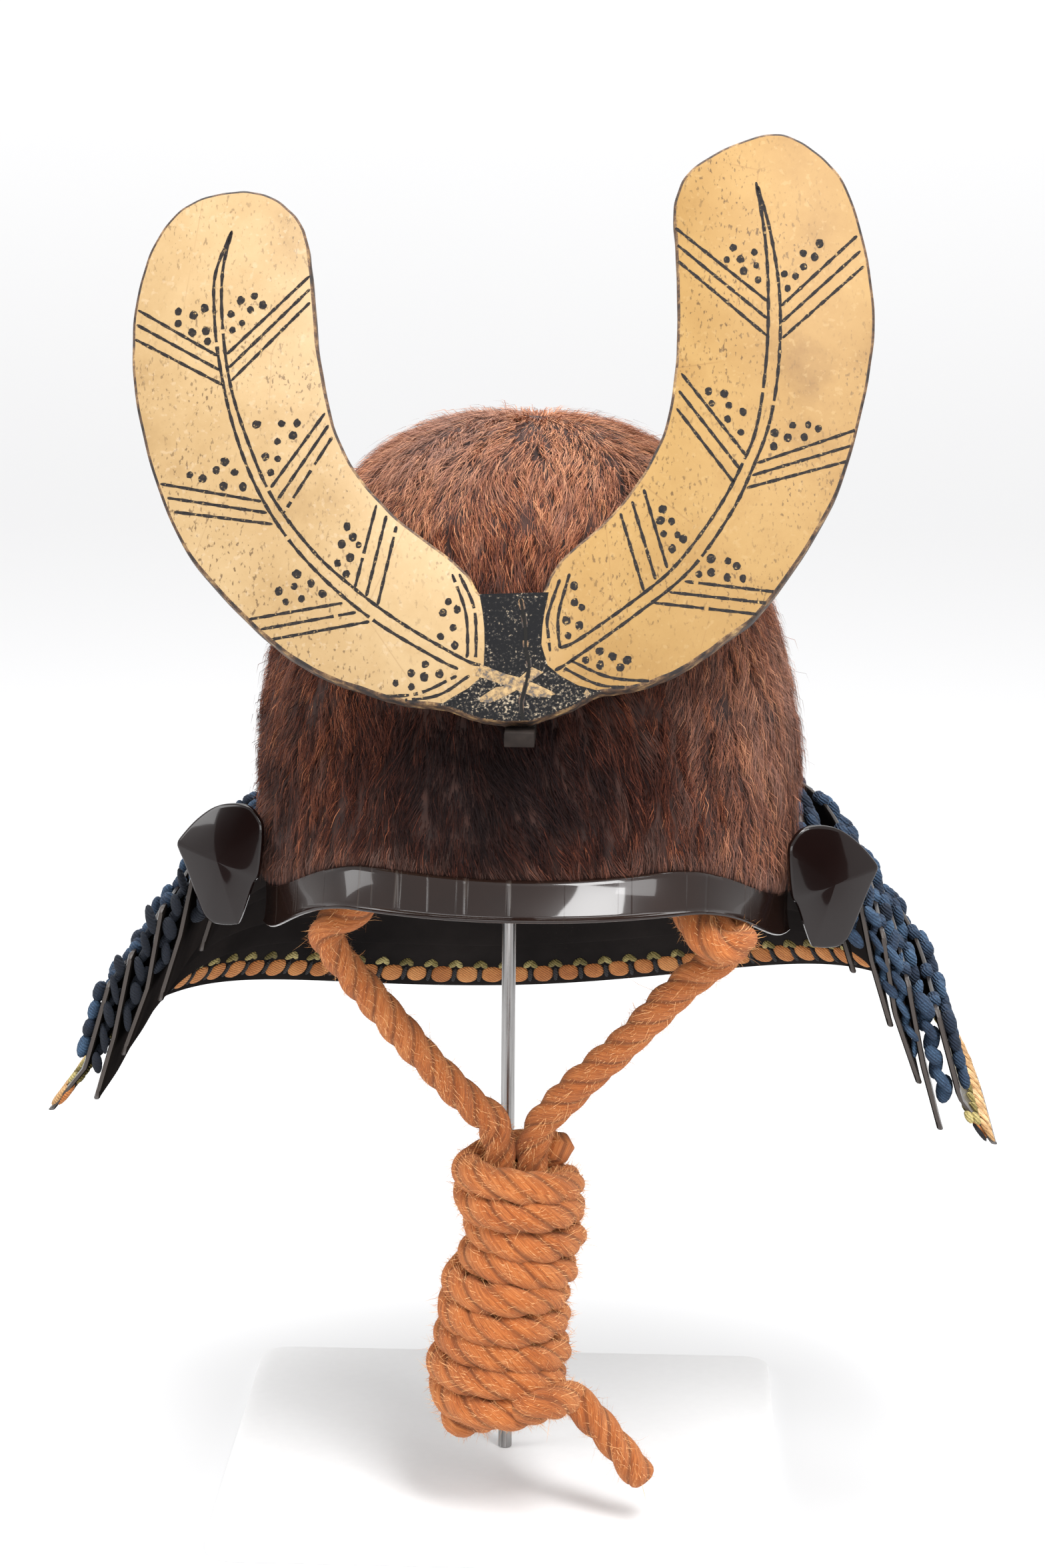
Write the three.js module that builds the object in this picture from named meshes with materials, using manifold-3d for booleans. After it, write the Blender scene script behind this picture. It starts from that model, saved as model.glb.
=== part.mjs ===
// A samurai helmet (kabuto) on a plain display stand.
// Millimetres, +Z up. The origin is the centre of the underside of the stand's base plate.
// The helmet faces -Y, and the wearer's left side is +X.
import * as THREE from 'three';
import { mergeVertices } from 'three/addons/utils/BufferGeometryUtils.js';
import Module from 'manifold-3d';

const wasm = await Module();
wasm.setup();

// ---------------------------------------------------------------- driving dimensions

const GAP = 0.35; // air left between pieces that touch
const HELMET_X = 8.4; // the helmet sits this far to one side of the rod

const stand = {
  plate_side: 220, plate_thick: 5, plate_corner: 12,
  rod_radius: 2.75, pad_radius: 20, pad_thick: 8, pad_edge_drop: 6, pad_clear: 1.5,
};

// The bowl is a dome: a superellipse in plan whose size shrinks along another superellipse upwards.
const bowl = {
  floor_z: 240, height: 178, half_width: 101, half_length: 118,
  plan_power: 2.35, rise_power: 2.4, wall: 2.5,
  side_rim_z: 247, brow_rim_z: 264.6, brow_dip: 1.7, brow_from: 27, brow_to: 67,
  round_steps: 40, rise_steps: 9,
};

const fur = {
  thick: 4.6, lock_height: 1.7, lock_rows: 6, lock_count: 16,
  above_rim: 1.6, side_rim_z: 280, side_from: 70, side_to: 80,
  full_side: 4.5, // extra thickness high on the wearer's right, where the hide is fuller
  round_steps: 48, rise_steps: 18,
};

const peak = {
  half_angle: 68, steps: 26, thick: 2, bead: 1.1,
  brow_reach: 14, end_reach: 4.5, brow_drop: 8.8, end_drop: 12.5, arch_lift: 0.9,
};

// Each plate of the neck guard: half-widths and heights of its top edge, its bend and its lower edge.
const lames = [
  { name: 'lame_1', top_w: 105, top_z: 271, bend_w: 117, bend_z: 246, edge_w: 126, edge_z: 218 },
  { name: 'lame_2', top_w: 127, top_z: 251, bend_w: 132.5, bend_z: 225.5, edge_w: 141, edge_z: 198.5 },
  { name: 'lame_3', top_w: 138, top_z: 236, bend_w: 143.8, bend_z: 204.5, edge_w: 154, edge_z: 176.5 },
  { name: 'lame_4', top_w: 149, top_z: 217.5, bend_w: 156, bend_z: 184.5, edge_w: 163.6, edge_z: 158.5 },
  { name: 'lame_5', top_w: 159, top_z: 206, bend_w: 169, bend_z: 171.5, edge_w: 183, edge_z: 153.5 },
];
// How each plate hangs: raised at the middle of the back, raised over the shoulders, moved to a side.
const hang = {
  lame_1: { rear: 4, shoulder: 6, aside: 0 }, lame_2: { rear: 8, shoulder: 16, aside: -0.5 },
  lame_3: { rear: 10, shoulder: 25, aside: -2 }, lame_4: { rear: 12.5, shoulder: 33, aside: -3 },
  lame_5: { rear: -5, shoulder: 37, aside: -1.4 },
};
const guard = {
  thick: 2, centre_y: -8, front_y: -50, plan_power: 2.35,
  rear_ratio: 0.92, arc_steps: 11, side_steps: 3, top_reach: 1.4,
  skew: 3.2e-4, skew_y: 10, // the laced plates hang a little askew: height gained per mm of x times mm of y
};

const wing = {
  thick: 1.8, fold_x: 98, fold_y: -69, outward_angle: 25, base_z: 233,
};
// Outline of a wing: distance out from its fold, and height above its lowest edge.
const wing_outline = [
  { out: 0, up: 37 }, { out: 1.5, up: 42 }, { out: 6, up: 46 }, { out: 13, up: 46.5 },
  { out: 21, up: 44.5 }, { out: 29, up: 39 }, { out: 37.5, up: 29.5 }, { out: 34, up: 21 },
  { out: 26, up: 4.5 }, { out: 21, up: 0.5 }, { out: 11, up: 1.5 }, { out: 4.5, up: 16.5 },
  { out: 1.5, up: 22 },
];

const lacing = {
  columns: 17, spaced_at: 150, end_share: 0.95, half_width: 6, thick: 2.6, edge_clear: 2.4, last_share: 0.9,
};
const edge_lacing = { from: 1.3, to: 1.84, thick: 2 }; // as shares down the lowest plate

const crest = {
  base_x: -1.2, base_y: -138, base_z: 326, lean: 22, tilt: 2.4, thick: 9, bevel: 1.5, samples: 34,
};
// Half outlines of the crest board from the notch between the feathers round to the foot:
// distance out from the middle, and height up the board.
const crest_left = [
  { out: 12, up: 48.6 }, { out: 19, up: 59 }, { out: 44, up: 80.5 }, { out: 60, up: 104 },
  { out: 67.5, up: 136 }, { out: 70.5, up: 172 }, { out: 74, up: 188 }, { out: 85, up: 198.8 },
  { out: 100, up: 201 }, { out: 117, up: 195.2 }, { out: 129, up: 178 }, { out: 135, up: 149 },
  { out: 132, up: 113 }, { out: 118, up: 71 }, { out: 93, up: 40 }, { out: 72, up: 23 },
  { out: 51, up: 14 }, { out: 38, up: 10 }, { out: 25, up: 8.2 }, { out: 14, up: 4 },
  { out: 4, up: 2 },
];
const crest_right = [
  { out: 10.5, up: 48.6 }, { out: 17, up: 60 }, { out: 38, up: 79 }, { out: 54, up: 104.5 },
  { out: 60, up: 135 }, { out: 61, up: 170 }, { out: 61, up: 192 }, { out: 70, up: 206.4 },
  { out: 95, up: 216.8 }, { out: 111, up: 210.8 }, { out: 124, up: 193 }, { out: 131, up: 155 },
  { out: 128, up: 123 }, { out: 114.5, up: 80 }, { out: 90, up: 43 }, { out: 74, up: 29.5 },
  { out: 58, up: 19 }, { out: 43, up: 13.5 }, { out: 29, up: 11.5 }, { out: 20, up: 7 },
  { out: 5, up: 2 },
];

const post = { width: 10.6, arm_height: 5.2, arm_front_y: -141, tongue_thick: 3, tongue_up: 34 };

const cord = { radius: 6.5, sides: 8 };
const ring = { radius: 8, wire: 1.6, x: 58, y: -89.2, z: 272 };

// Hand-laid routes of the chin cord, from under each ring down to the knot, and of its free end.
const right_strand = [
  { x: -58, y: -89.2, z: 261.9 }, { x: -58, y: -90.5, z: 256 }, { x: -60, y: -92.5, z: 250.5 },
  { x: -64.5, y: -93.5, z: 247 }, { x: -70, y: -93, z: 244 }, { x: -72.3, y: -91, z: 238.5 },
  { x: -69.3, y: -88.7, z: 232 }, { x: -62.9, y: -85.1, z: 222.2 }, { x: -56.5, y: -82.3, z: 213.7 },
  { x: -49.5, y: -79.5, z: 204.4 }, { x: -41.6, y: -76.2, z: 194 }, { x: -33.7, y: -73.4, z: 184.4 },
  { x: -25.8, y: -70.5, z: 175.3 }, { x: -18, y: -67.7, z: 167 }, { x: -11.5, y: -65.5, z: 160.5 },
];
const left_strand = [
  { x: 58, y: -89.2, z: 261.9 }, { x: 58.5, y: -91, z: 256.5 }, { x: 61.5, y: -93, z: 251 },
  { x: 67.5, y: -94.5, z: 247 }, { x: 74, y: -94.5, z: 242.5 }, { x: 75.5, y: -92.5, z: 236 },
  { x: 71.5, y: -89, z: 230.5 }, { x: 66.1, y: -86, z: 226 }, { x: 59, y: -83.6, z: 219 },
  { x: 51.8, y: -81, z: 211 }, { x: 44.7, y: -78.2, z: 202.4 }, { x: 37.2, y: -75.6, z: 194 },
  { x: 28.8, y: -73.2, z: 185.5 }, { x: 20.6, y: -70.8, z: 177 }, { x: 13, y: -68, z: 168 },
  { x: 7.3, y: -65.5, z: 160.8 },
];
const free_end = [
  { x: 20, y: -70.5, z: 53.6 }, { x: 24.6, y: -73.5, z: 50 }, { x: 30.3, y: -75.5, z: 44.8 },
  { x: 35.2, y: -76.5, z: 39.3 }, { x: 39.3, y: -77, z: 34.5 }, { x: 42.7, y: -77, z: 30 },
  { x: 45.6, y: -77, z: 25.8 }, { x: 48.3, y: -77, z: 21.8 },
];

const knot = { y: -64, top_z: 154, turns: 9.5, pitch: 12.4, round_steps: 14, turn_samples: 3 };
// How far the middle of the wound knot wanders sideways, and the radius of its turns, by height.
const knot_shape = [
  { z: 36, x: -4, turn_radius: 13.5 }, { z: 48, x: -9, turn_radius: 19.5 },
  { z: 61, x: -9.8, turn_radius: 21.6 }, { z: 76, x: -7, turn_radius: 19.8 },
  { z: 87, x: -7.3, turn_radius: 19.6 }, { z: 100, x: -5.5, turn_radius: 19.3 },
  { z: 111, x: 0.3, turn_radius: 17.2 }, { z: 122, x: 1, turn_radius: 17.6 },
  { z: 134, x: -1.8, turn_radius: 20 }, { z: 147, x: -2.4, turn_radius: 17.6 },
  { z: 154, x: -3.4, turn_radius: 15.2 },
];

// ---------------------------------------------------------------- looks

const finish = {
  white_steel: { color: 0xf0f0ee, roughness: 0.5, metalness: 0.1 },
  steel: { color: 0xa9a6a4, roughness: 0.3, metalness: 0.9 },
  black_iron: { color: 0x1c1715, roughness: 0.4, metalness: 0.3 },
  fur: { color: 0x6b3524, roughness: 0.9, metalness: 0 },
  lacquer: { color: 0x20140f, roughness: 0.12, metalness: 0 },
  navy_lace: { color: 0x1c2c46, roughness: 0.85, metalness: 0 },
  orange_lace: { color: 0xb4591f, roughness: 0.85, metalness: 0 },
  gold_lacquer: { color: 0xc89a4b, roughness: 0.35, metalness: 0.4 },
  orange_rope: { color: 0xd06a2a, roughness: 0.9, metalness: 0 },
};

// ---------------------------------------------------------------- geometry helpers

const rad = THREE.MathUtils.degToRad;
const { smoothstep, lerp } = THREE.MathUtils;

function powerOf(value, power) {
  return Math.sign(value) * Math.abs(value) ** power;
}

// Straight-line interpolation of one column of a table whose rows rise in another column.
function tableAt(table, column, key, at) {
  const last = table.length - 1;
  const next = Math.min(last, Math.max(1, table.findIndex((row) => row[key] >= at)));
  const row = at > table[last][key] ? last : next;
  const [low, high] = [table[row - 1], table[row]];
  const share = THREE.MathUtils.clamp((at - low[key]) / (high[key] - low[key]), 0, 1);
  return lerp(low[column], high[column], share);
}

function solidGeometry(points, faces) {
  const geometry = new THREE.BufferGeometry();
  geometry.setAttribute('position', new THREE.Float32BufferAttribute(points.flat(), 3));
  geometry.setIndex(faces.flat());
  return geometry;
}

// A closed solid through equal rings of points: open ends get a flat fan, a closed loop gets none.
function loft(rings) {
  const count = rings[0].length;
  const faces = [];
  for (let ring_no = 0; ring_no + 1 < rings.length; ring_no++) {
    for (let side = 0; side < count; side++) {
      const next = (side + 1) % count;
      const [a, b] = [ring_no * count + side, ring_no * count + next];
      faces.push([a, b, b + count], [a, b + count, a + count]);
    }
  }
  const last = (rings.length - 1) * count;
  for (let side = 1; side + 1 < count; side++) {
    faces.push([0, side + 1, side], [last, last + side, last + side + 1]);
  }
  return outward(solidGeometry(rings.flat(), faces));
}

// Turns every face over if the solid is inside out.
function outward(geometry) {
  const index = geometry.getIndex().array;
  const position = geometry.getAttribute('position');
  const corner = [new THREE.Vector3(), new THREE.Vector3(), new THREE.Vector3()];
  let volume = 0;
  for (let face = 0; face < index.length; face += 3) {
    corner.forEach((point, side) => point.fromBufferAttribute(position, index[face + side]));
    volume += corner[0].dot(corner[1].cross(corner[2]));
  }
  if (volume < 0) {
    for (let face = 0; face < index.length; face += 3) {
      [index[face], index[face + 1]] = [index[face + 1], index[face]];
    }
  }
  return geometry;
}

// Only shared positions are left, as the boolean library needs.
function welded(geometry) {
  const bare = geometry.clone();
  bare.deleteAttribute('normal');
  bare.deleteAttribute('uv');
  return mergeVertices(bare, 1e-4);
}

function toManifold(geometry) {
  const bare = welded(geometry);
  return new wasm.Manifold(new wasm.Mesh({
    numProp: 3,
    vertProperties: new Float32Array(bare.getAttribute('position').array),
    triVerts: new Uint32Array(bare.getIndex().array),
  }));
}

function fromManifold(solid) {
  const mesh = solid.getMesh();
  const geometry = new THREE.BufferGeometry();
  geometry.setAttribute('position', new THREE.BufferAttribute(mesh.vertProperties, 3));
  geometry.setIndex(new THREE.BufferAttribute(mesh.triVerts, 1));
  return geometry;
}

// A tube of the cord's thickness along a smooth curve through a route's points.
function cordTube(route, steps) {
  const curve = new THREE.CatmullRomCurve3(route.map(({ x, y, z }) => new THREE.Vector3(x, y, z)));
  const section = new THREE.Shape();
  for (let side = 0; side < cord.sides; side++) {
    const angle = (side / cord.sides) * 2 * Math.PI;
    const [x, y] = [cord.radius * Math.cos(angle), cord.radius * Math.sin(angle)];
    if (side === 0) section.moveTo(x, y);
    else section.lineTo(x, y);
  }
  section.closePath();
  return new THREE.ExtrudeGeometry(section, { extrudePath: curve, steps, bevelEnabled: false });
}

// ---------------------------------------------------------------- stand

function standBase() {
  const [half, corner] = [stand.plate_side / 2, stand.plate_corner];
  const outline = new THREE.Shape();
  outline.moveTo(-half + corner, -half);
  outline.lineTo(half - corner, -half);
  outline.absarc(half - corner, -half + corner, corner, -Math.PI / 2, 0);
  outline.absarc(half - corner, half - corner, corner, 0, Math.PI / 2);
  outline.absarc(-half + corner, half - corner, corner, Math.PI / 2, Math.PI);
  outline.absarc(-half + corner, -half + corner, corner, Math.PI, 1.5 * Math.PI);
  return new THREE.ExtrudeGeometry(outline, {
    depth: stand.plate_thick, bevelEnabled: false, curveSegments: 4,
  });
}

const bowl_inside_top = bowl.floor_z + bowl.height - bowl.wall;
const pad_top = bowl_inside_top - stand.pad_clear;

function standPad() {
  const [radius, under] = [stand.pad_radius, pad_top - stand.pad_thick];
  const profile = [
    new THREE.Vector2(0, under), new THREE.Vector2(radius * 0.5, under),
    new THREE.Vector2(radius, pad_top - stand.pad_edge_drop - 1),
    new THREE.Vector2(radius, pad_top - stand.pad_edge_drop),
    new THREE.Vector2(radius * 0.7, pad_top - stand.pad_edge_drop * 0.45),
    new THREE.Vector2(radius * 0.35, pad_top - stand.pad_edge_drop * 0.1), new THREE.Vector2(0, pad_top),
  ];
  return new THREE.LatheGeometry(profile, 14).rotateX(Math.PI / 2);
}

function standRod() {
  const bottom = stand.plate_thick + GAP;
  const length = pad_top - stand.pad_thick - GAP - bottom;
  const rod = new THREE.CylinderGeometry(stand.rod_radius, stand.rod_radius, length, 16);
  return rod.rotateX(Math.PI / 2).translate(0, 0, bottom + length / 2);
}

// ---------------------------------------------------------------- bowl and fur

// A point of the dome. Turn is 0 at the brow and 90 at the side; rise is 0 at the floor and 90 on top.
function domePoint(turn, rise, offset) {
  const [plan, lift] = [2 / bowl.plan_power, 2 / bowl.rise_power];
  const spread = Math.cos(rad(rise)) ** lift;
  return [
    (bowl.half_width + offset) * spread * powerOf(Math.sin(rad(turn)), plan),
    -(bowl.half_length + offset) * spread * powerOf(Math.cos(rad(turn)), plan),
    bowl.floor_z + (bowl.height + offset) * Math.sin(rad(rise)) ** lift,
  ];
}

function riseAt(z, offset) {
  const share = THREE.MathUtils.clamp((z - bowl.floor_z) / (bowl.height + offset), 0, 1);
  return THREE.MathUtils.radToDeg(Math.asin(share ** (bowl.rise_power / 2)));
}

// Height of the bowl's lower edge: raised in two soft arches over the brow, level round the sides.
function bowlRim(turn) {
  const away = Math.abs(THREE.MathUtils.euclideanModulo(turn + 180, 360) - 180);
  const side = smoothstep(away, bowl.brow_from, bowl.brow_to);
  const dip = bowl.brow_dip * (1 - smoothstep(away, 0, bowl.brow_from));
  return lerp(bowl.brow_rim_z, bowl.side_rim_z, side) - dip;
}

function furRim(turn) {
  const away = Math.abs(THREE.MathUtils.euclideanModulo(turn + 180, 360) - 180);
  const side = smoothstep(away, fur.side_from, fur.side_to);
  return lerp(bowlRim(turn) + fur.above_rim, fur.side_rim_z, side);
}

// Triangles over one skin: rings of points from the rim up, closed by a top point.
function skinFaces(round_steps, { rings }, first, flip) {
  const faces = [];
  const add = (a, b, c) => faces.push(flip ? [a, c, b] : [a, b, c]);
  const last = first + (rings.length - 1) * round_steps;
  for (let side = 0; side < round_steps; side++) {
    const next = (side + 1) % round_steps;
    for (let a = first; a < last; a += round_steps) {
      const b = a + round_steps;
      add(a + side, a + next, b + next);
      add(a + side, b + next, b + side);
    }
    add(last + side, last + next, last + round_steps);
  }
  return faces;
}

// A dome-shaped wall between two skins.
function domeWall(round_steps, outer, inner) {
  const points = [...outer.rings.flat(), outer.top, ...inner.rings.flat(), inner.top];
  const inside = outer.rings.length * round_steps + 1;
  const faces = [
    ...skinFaces(round_steps, outer, 0, false), ...skinFaces(round_steps, inner, inside, true),
  ];
  for (let side = 0; side < round_steps; side++) {
    const next = (side + 1) % round_steps;
    faces.push([side, inside + next, next], [side, inside + side, inside + next]);
  }
  return outward(solidGeometry(points, faces));
}

// A filled dome under one skin, with a shallow cone as its floor.
function domeSolid(round_steps, skin, floor_z) {
  const points = [...skin.rings.flat(), skin.top, [0, 0, floor_z]];
  const faces = skinFaces(round_steps, skin, 0, false);
  for (let side = 0; side < round_steps; side++) {
    faces.push([points.length - 1, (side + 1) % round_steps, side]);
  }
  return outward(solidGeometry(points, faces));
}

// The rings of one skin of the dome, from a rim height given by turn, at an offset given by turn and row.
function domeSkin(round_steps, rise_steps, rim, offsetAt) {
  const rings = [];
  for (let row = 0; row < rise_steps; row++) {
    const ring_points = [];
    for (let side = 0; side < round_steps; side++) {
      const turn = (side / round_steps) * 360;
      const offset = offsetAt(turn, row / rise_steps);
      const start = riseAt(rim(turn), offset);
      ring_points.push(domePoint(turn, lerp(start, 90, row / rise_steps), offset));
    }
    rings.push(ring_points);
  }
  return { rings, top: domePoint(0, 90, offsetAt(0, 1)) };
}

function bowlShell() {
  const { round_steps, rise_steps, wall } = bowl;
  return domeWall(
    round_steps,
    domeSkin(round_steps, rise_steps, bowlRim, () => 0),
    domeSkin(round_steps, rise_steps, bowlRim, () => -wall),
  );
}

// The fur lies downwards in rows of locks that overlap like shingles, each row shifted half a lock.
function lockOffset(turn, share) {
  const row = (1 - share) * fur.lock_rows;
  const within = row - Math.floor(row);
  const shift = (Math.floor(row) % 2) * 0.5;
  const across = Math.cos(((turn / 360) * fur.lock_count + shift) * 2 * Math.PI);
  const fade = smoothstep(1 - share, 0, 0.12);
  const full = Math.max(0, -Math.sin(rad(turn))) * Math.sin(share * Math.PI);
  return fur.thick + fur.full_side * full + fade * fur.lock_height * (within - 0.5 + 0.3 * across);
}

function furCover() {
  const locks = domeSkin(fur.round_steps, fur.rise_steps, furRim, lockOffset);
  const hollow = domeSkin(bowl.round_steps, bowl.rise_steps, bowlRim, () => GAP);
  const filled = toManifold(domeSolid(fur.round_steps, locks, bowl.side_rim_z + 15));
  const cover = filled.subtract(toManifold(domeSolid(bowl.round_steps, hollow, bowl.floor_z)));
  const [width, height] = [post.width + 2 * GAP + 0.6, post.arm_height + 2 * GAP + 0.6];
  const slot = new THREE.BoxGeometry(width, 60, height);
  slot.translate(0, bowl.half_length * -0.95, postArmTop() - post.arm_height / 2);
  return fromManifold(cover.subtract(toManifold(slot)));
}

// ---------------------------------------------------------------- peak

function peakBand() {
  const rings = [];
  for (let step = 0; step <= peak.steps; step++) {
    const turn = lerp(-peak.half_angle, peak.half_angle, step / peak.steps);
    const away = Math.abs(turn);
    const end = smoothstep(away, bowl.brow_from, peak.half_angle);
    const top_z = bowlRim(turn) + fur.above_rim - 0.8;
    const [x, y] = domePoint(turn, riseAt(top_z, 0), GAP);
    const facing = new THREE.Vector2(x / bowl.half_width ** 2, y / bowl.half_length ** 2).normalize();
    const reach = lerp(peak.brow_reach, peak.end_reach, end);
    const arch = peak.arch_lift * smoothstep(away, 0, bowl.brow_from) * (1 - end);
    const drop = lerp(peak.brow_drop, peak.end_drop, end) - arch;
    const at = (out, down) => [x + facing.x * out, y + facing.y * out, top_z - down];
    rings.push([
      at(0, 0), at(peak.thick, 0), at(reach, drop - peak.thick * 0.6),
      at(reach + peak.bead, drop + 0.2), at(reach + 0.2, drop + peak.bead), at(reach - peak.thick, drop),
      at(0, peak.thick * 1.1),
    ]);
  }
  return loft(rings);
}

// ---------------------------------------------------------------- neck guard

// Stations along a plate from one front end round the back to the other: an arc round the back, then
// straight sides. A plate that reaches further forward has one more station at each end.
function guardStations(front_reach = 1) {
  const half = [];
  for (let step = 0; step <= guard.arc_steps; step++) {
    half.push({ arc: (step / guard.arc_steps) * 90, forward: 0 });
  }
  for (let step = 1; step <= guard.side_steps; step++) {
    half.push({ arc: 90, forward: step / guard.side_steps });
  }
  if (front_reach > 1) half.push({ arc: 90, forward: front_reach });
  const other_half = half.slice(1).reverse().map((station) => ({ ...station, side: -1 }));
  return [...other_half, ...half.map((station) => ({ ...station, side: 1 }))];
}

const rearY = (half_width) => bowl.half_length + 4 + (half_width - bowl.half_width) * guard.rear_ratio;

// How far a plate is raised at a point given as shares of its half-width and of its depth.
function plateLift({ rear, shoulder }, across, back) {
  return (rear + shoulder * across ** 2) * smoothstep(back, 0, 1);
}

const skewAt = (x, y) => guard.skew * x * (y - guard.skew_y);

// A point of a plate's outline at one station, for a half-width and a height.
function guardPoint(hanging, { arc, forward, side }, half_width, z, inset = 0) {
  const width = half_width - inset;
  const length = rearY(half_width) - inset - guard.centre_y;
  const power = 2 / guard.plan_power;
  const x = side * width * Math.sin(rad(arc)) ** power;
  const y_back = guard.centre_y + length * Math.cos(rad(arc)) ** power;
  const y = forward > 0 ? lerp(guard.centre_y, guard.front_y, forward) : y_back;
  const raised = plateLift(hanging, x / width, (y - guard.centre_y) / length) + skewAt(x, y);
  return [x + hanging.aside, y, z + raised];
}

// A point of a plate's outer face at one station: share is 0 at the top edge, 1 at the bend, 2 below.
// Its inset goes inwards.
function lamePoint(lame, station, share, inset = 0) {
  const [from, to] = share < 1
    ? [[lame.top_w, lame.top_z], [lame.bend_w, lame.bend_z]]
    : [[lame.bend_w, lame.bend_z], [lame.edge_w, lame.edge_z]];
  const along = share < 1 ? share : share - 1;
  const [half_width, z] = [lerp(from[0], to[0], along), lerp(from[1], to[1], along)];
  return guardPoint(hang[lame.name], station, half_width, z, inset);
}

function lamePlate(lame, front_reach) {
  return loft(guardStations(front_reach).map((station) => [
    ...[0, 1, 2].map((share) => lamePoint(lame, station, share)),
    ...[2, 1, 0].map((share) => lamePoint(lame, station, share, guard.thick)),
  ]));
}

// One wing: a small shield whose fold lies beside the bowl, turned outwards and back.
function wingPlate(side) {
  const outline = new THREE.Shape(wing_outline.map(({ out, up }) => new THREE.Vector2(out, up)));
  const plate = new THREE.ExtrudeGeometry(outline, {
    depth: wing.thick, bevelEnabled: true, bevelThickness: 0.4, bevelSize: 0.4, bevelSegments: 1,
  });
  plate.rotateX(Math.PI / 2).rotateZ(rad(wing.outward_angle));
  plate.translate(wing.fold_x, wing.fold_y, wing.base_z);
  plate.translate(0, 0, skewAt(side * wing.fold_x, wing.fold_y));
  return side > 0 ? plate : mirrored(plate);
}

function mirrored(geometry) {
  const copy = geometry.index ? geometry.toNonIndexed() : geometry.clone();
  copy.scale(-1, 1, 1);
  const position = copy.getAttribute('position');
  for (let face = 0; face < position.count; face += 3) {
    const [a, b] = [face, face + 1].map((i) => [position.getX(i), position.getY(i), position.getZ(i)]);
    position.setXYZ(face, ...b);
    position.setXYZ(face + 1, ...a);
  }
  return copy;
}

// The top plate ends in the two wings; what would stand out in front of a wing is cut away.
function topLame() {
  let solid = toManifold(lamePlate(lames[0], guard.top_reach));
  for (const side of [-1, 1]) {
    const cutter = new THREE.BoxGeometry(90, 40, 140).translate(30, -20 - wing.thick * 0.5, 0);
    cutter.rotateZ(rad(wing.outward_angle)).translate(wing.fold_x, wing.fold_y, wing.base_z);
    solid = solid.subtract(toManifold(side > 0 ? cutter : mirrored(cutter)));
    solid = solid.add(toManifold(wingPlate(side)));
  }
  return fromManifold(solid);
}

// Stations of the lacing columns, at even distances along a plate.
function laceStations() {
  const trial = Array.from({ length: 181 }, (_, step) => (
    step <= 90 ? { arc: step, forward: 0, side: 1 } : { arc: 90, forward: (step - 90) / 90, side: 1 }
  ));
  const level = { rear: 0, shoulder: 0, aside: 0 };
  const points = trial.map((station) => (
    new THREE.Vector3(...guardPoint(level, station, lacing.spaced_at, 0))
  ));
  let length = 0;
  const lengths = points.map((point, row) => {
    length += row ? point.distanceTo(points[row - 1]) : 0;
    return { length, row };
  });
  return Array.from({ length: lacing.columns }, (_, column) => {
    const share = (2 * column) / (lacing.columns - 1) - 1;
    const along = Math.abs(share) * lacing.end_share * length;
    const { row } = lengths.find((entry) => entry.length >= along);
    return { ...trial[row], side: share < 0 ? -1 : 1 };
  });
}

// One column of lacing steps down the outside of the plates, out over the top edge of each lower one.
function laceColumn(station) {
  const stand_off = -(lacing.thick / 2 + GAP + 0.8);
  const path = lames.flatMap((lame, row) => {
    const next = lames[row + 1];
    const first = lamePoint(lame, station, 0.06, stand_off);
    if (!next) return [first, lamePoint(lame, station, lacing.last_share, stand_off)];
    const over = guardPoint(hang[next.name], station, next.top_w, next.top_z + lacing.edge_clear, -1.4);
    const [, , upper_z] = lamePoint(lame, station, 0);
    const hidden_at = Math.max(0.12, (upper_z - over[2]) / (lame.top_z - lame.bend_z));
    return [first, lamePoint(lame, station, hidden_at, stand_off), over];
  });
  return flatBand(path, plateDirection(station));
}

// The direction along the edge of the lacing's middle plate at one station, as seen from outside.
function plateDirection(station) {
  const { arc, forward, side } = station;
  const further = arc > 85 ? { arc: 90, forward: forward + 0.15, side } : { ...station, arc: arc + 4 };
  const [here, there] = [station, further].map((place) => (
    new THREE.Vector3(...lamePoint(lames[3], place, 0))
  ));
  return there.sub(here).normalize().multiplyScalar(side);
}

// A flat band through a column's points, its width along the plates.
function flatBand(path, wide) {
  const points = path.map((point) => new THREE.Vector3(...point));
  return loft(points.map((point, row) => {
    const along = points[Math.min(points.length - 1, row + 1)].clone();
    along.sub(points[Math.max(0, row - 1)]);
    const out = new THREE.Vector3().crossVectors(along, wide).normalize();
    const corner = (w, o) => {
      const place = point.clone().addScaledVector(wide, w * lacing.half_width);
      return place.addScaledVector(out, (o * lacing.thick) / 2).toArray();
    };
    return [corner(-1, -1), corner(1, -1), corner(1, 1), corner(-1, 1)];
  }));
}

// A plain band for the row of stitches along the lower edge, outside or inside the bottom plate.
function edgeBand(outside) {
  const lame = lames[lames.length - 1];
  const near = outside ? -GAP - 0.2 : guard.thick + GAP + 0.2;
  const far = outside ? near - edge_lacing.thick : near + edge_lacing.thick;
  const { from, to } = edge_lacing;
  return loft(guardStations().map((station) => [
    lamePoint(lame, station, from, near), lamePoint(lame, station, to, near),
    lamePoint(lame, station, to, far), lamePoint(lame, station, from, far),
  ]));
}

// ---------------------------------------------------------------- crest and its post

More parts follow.
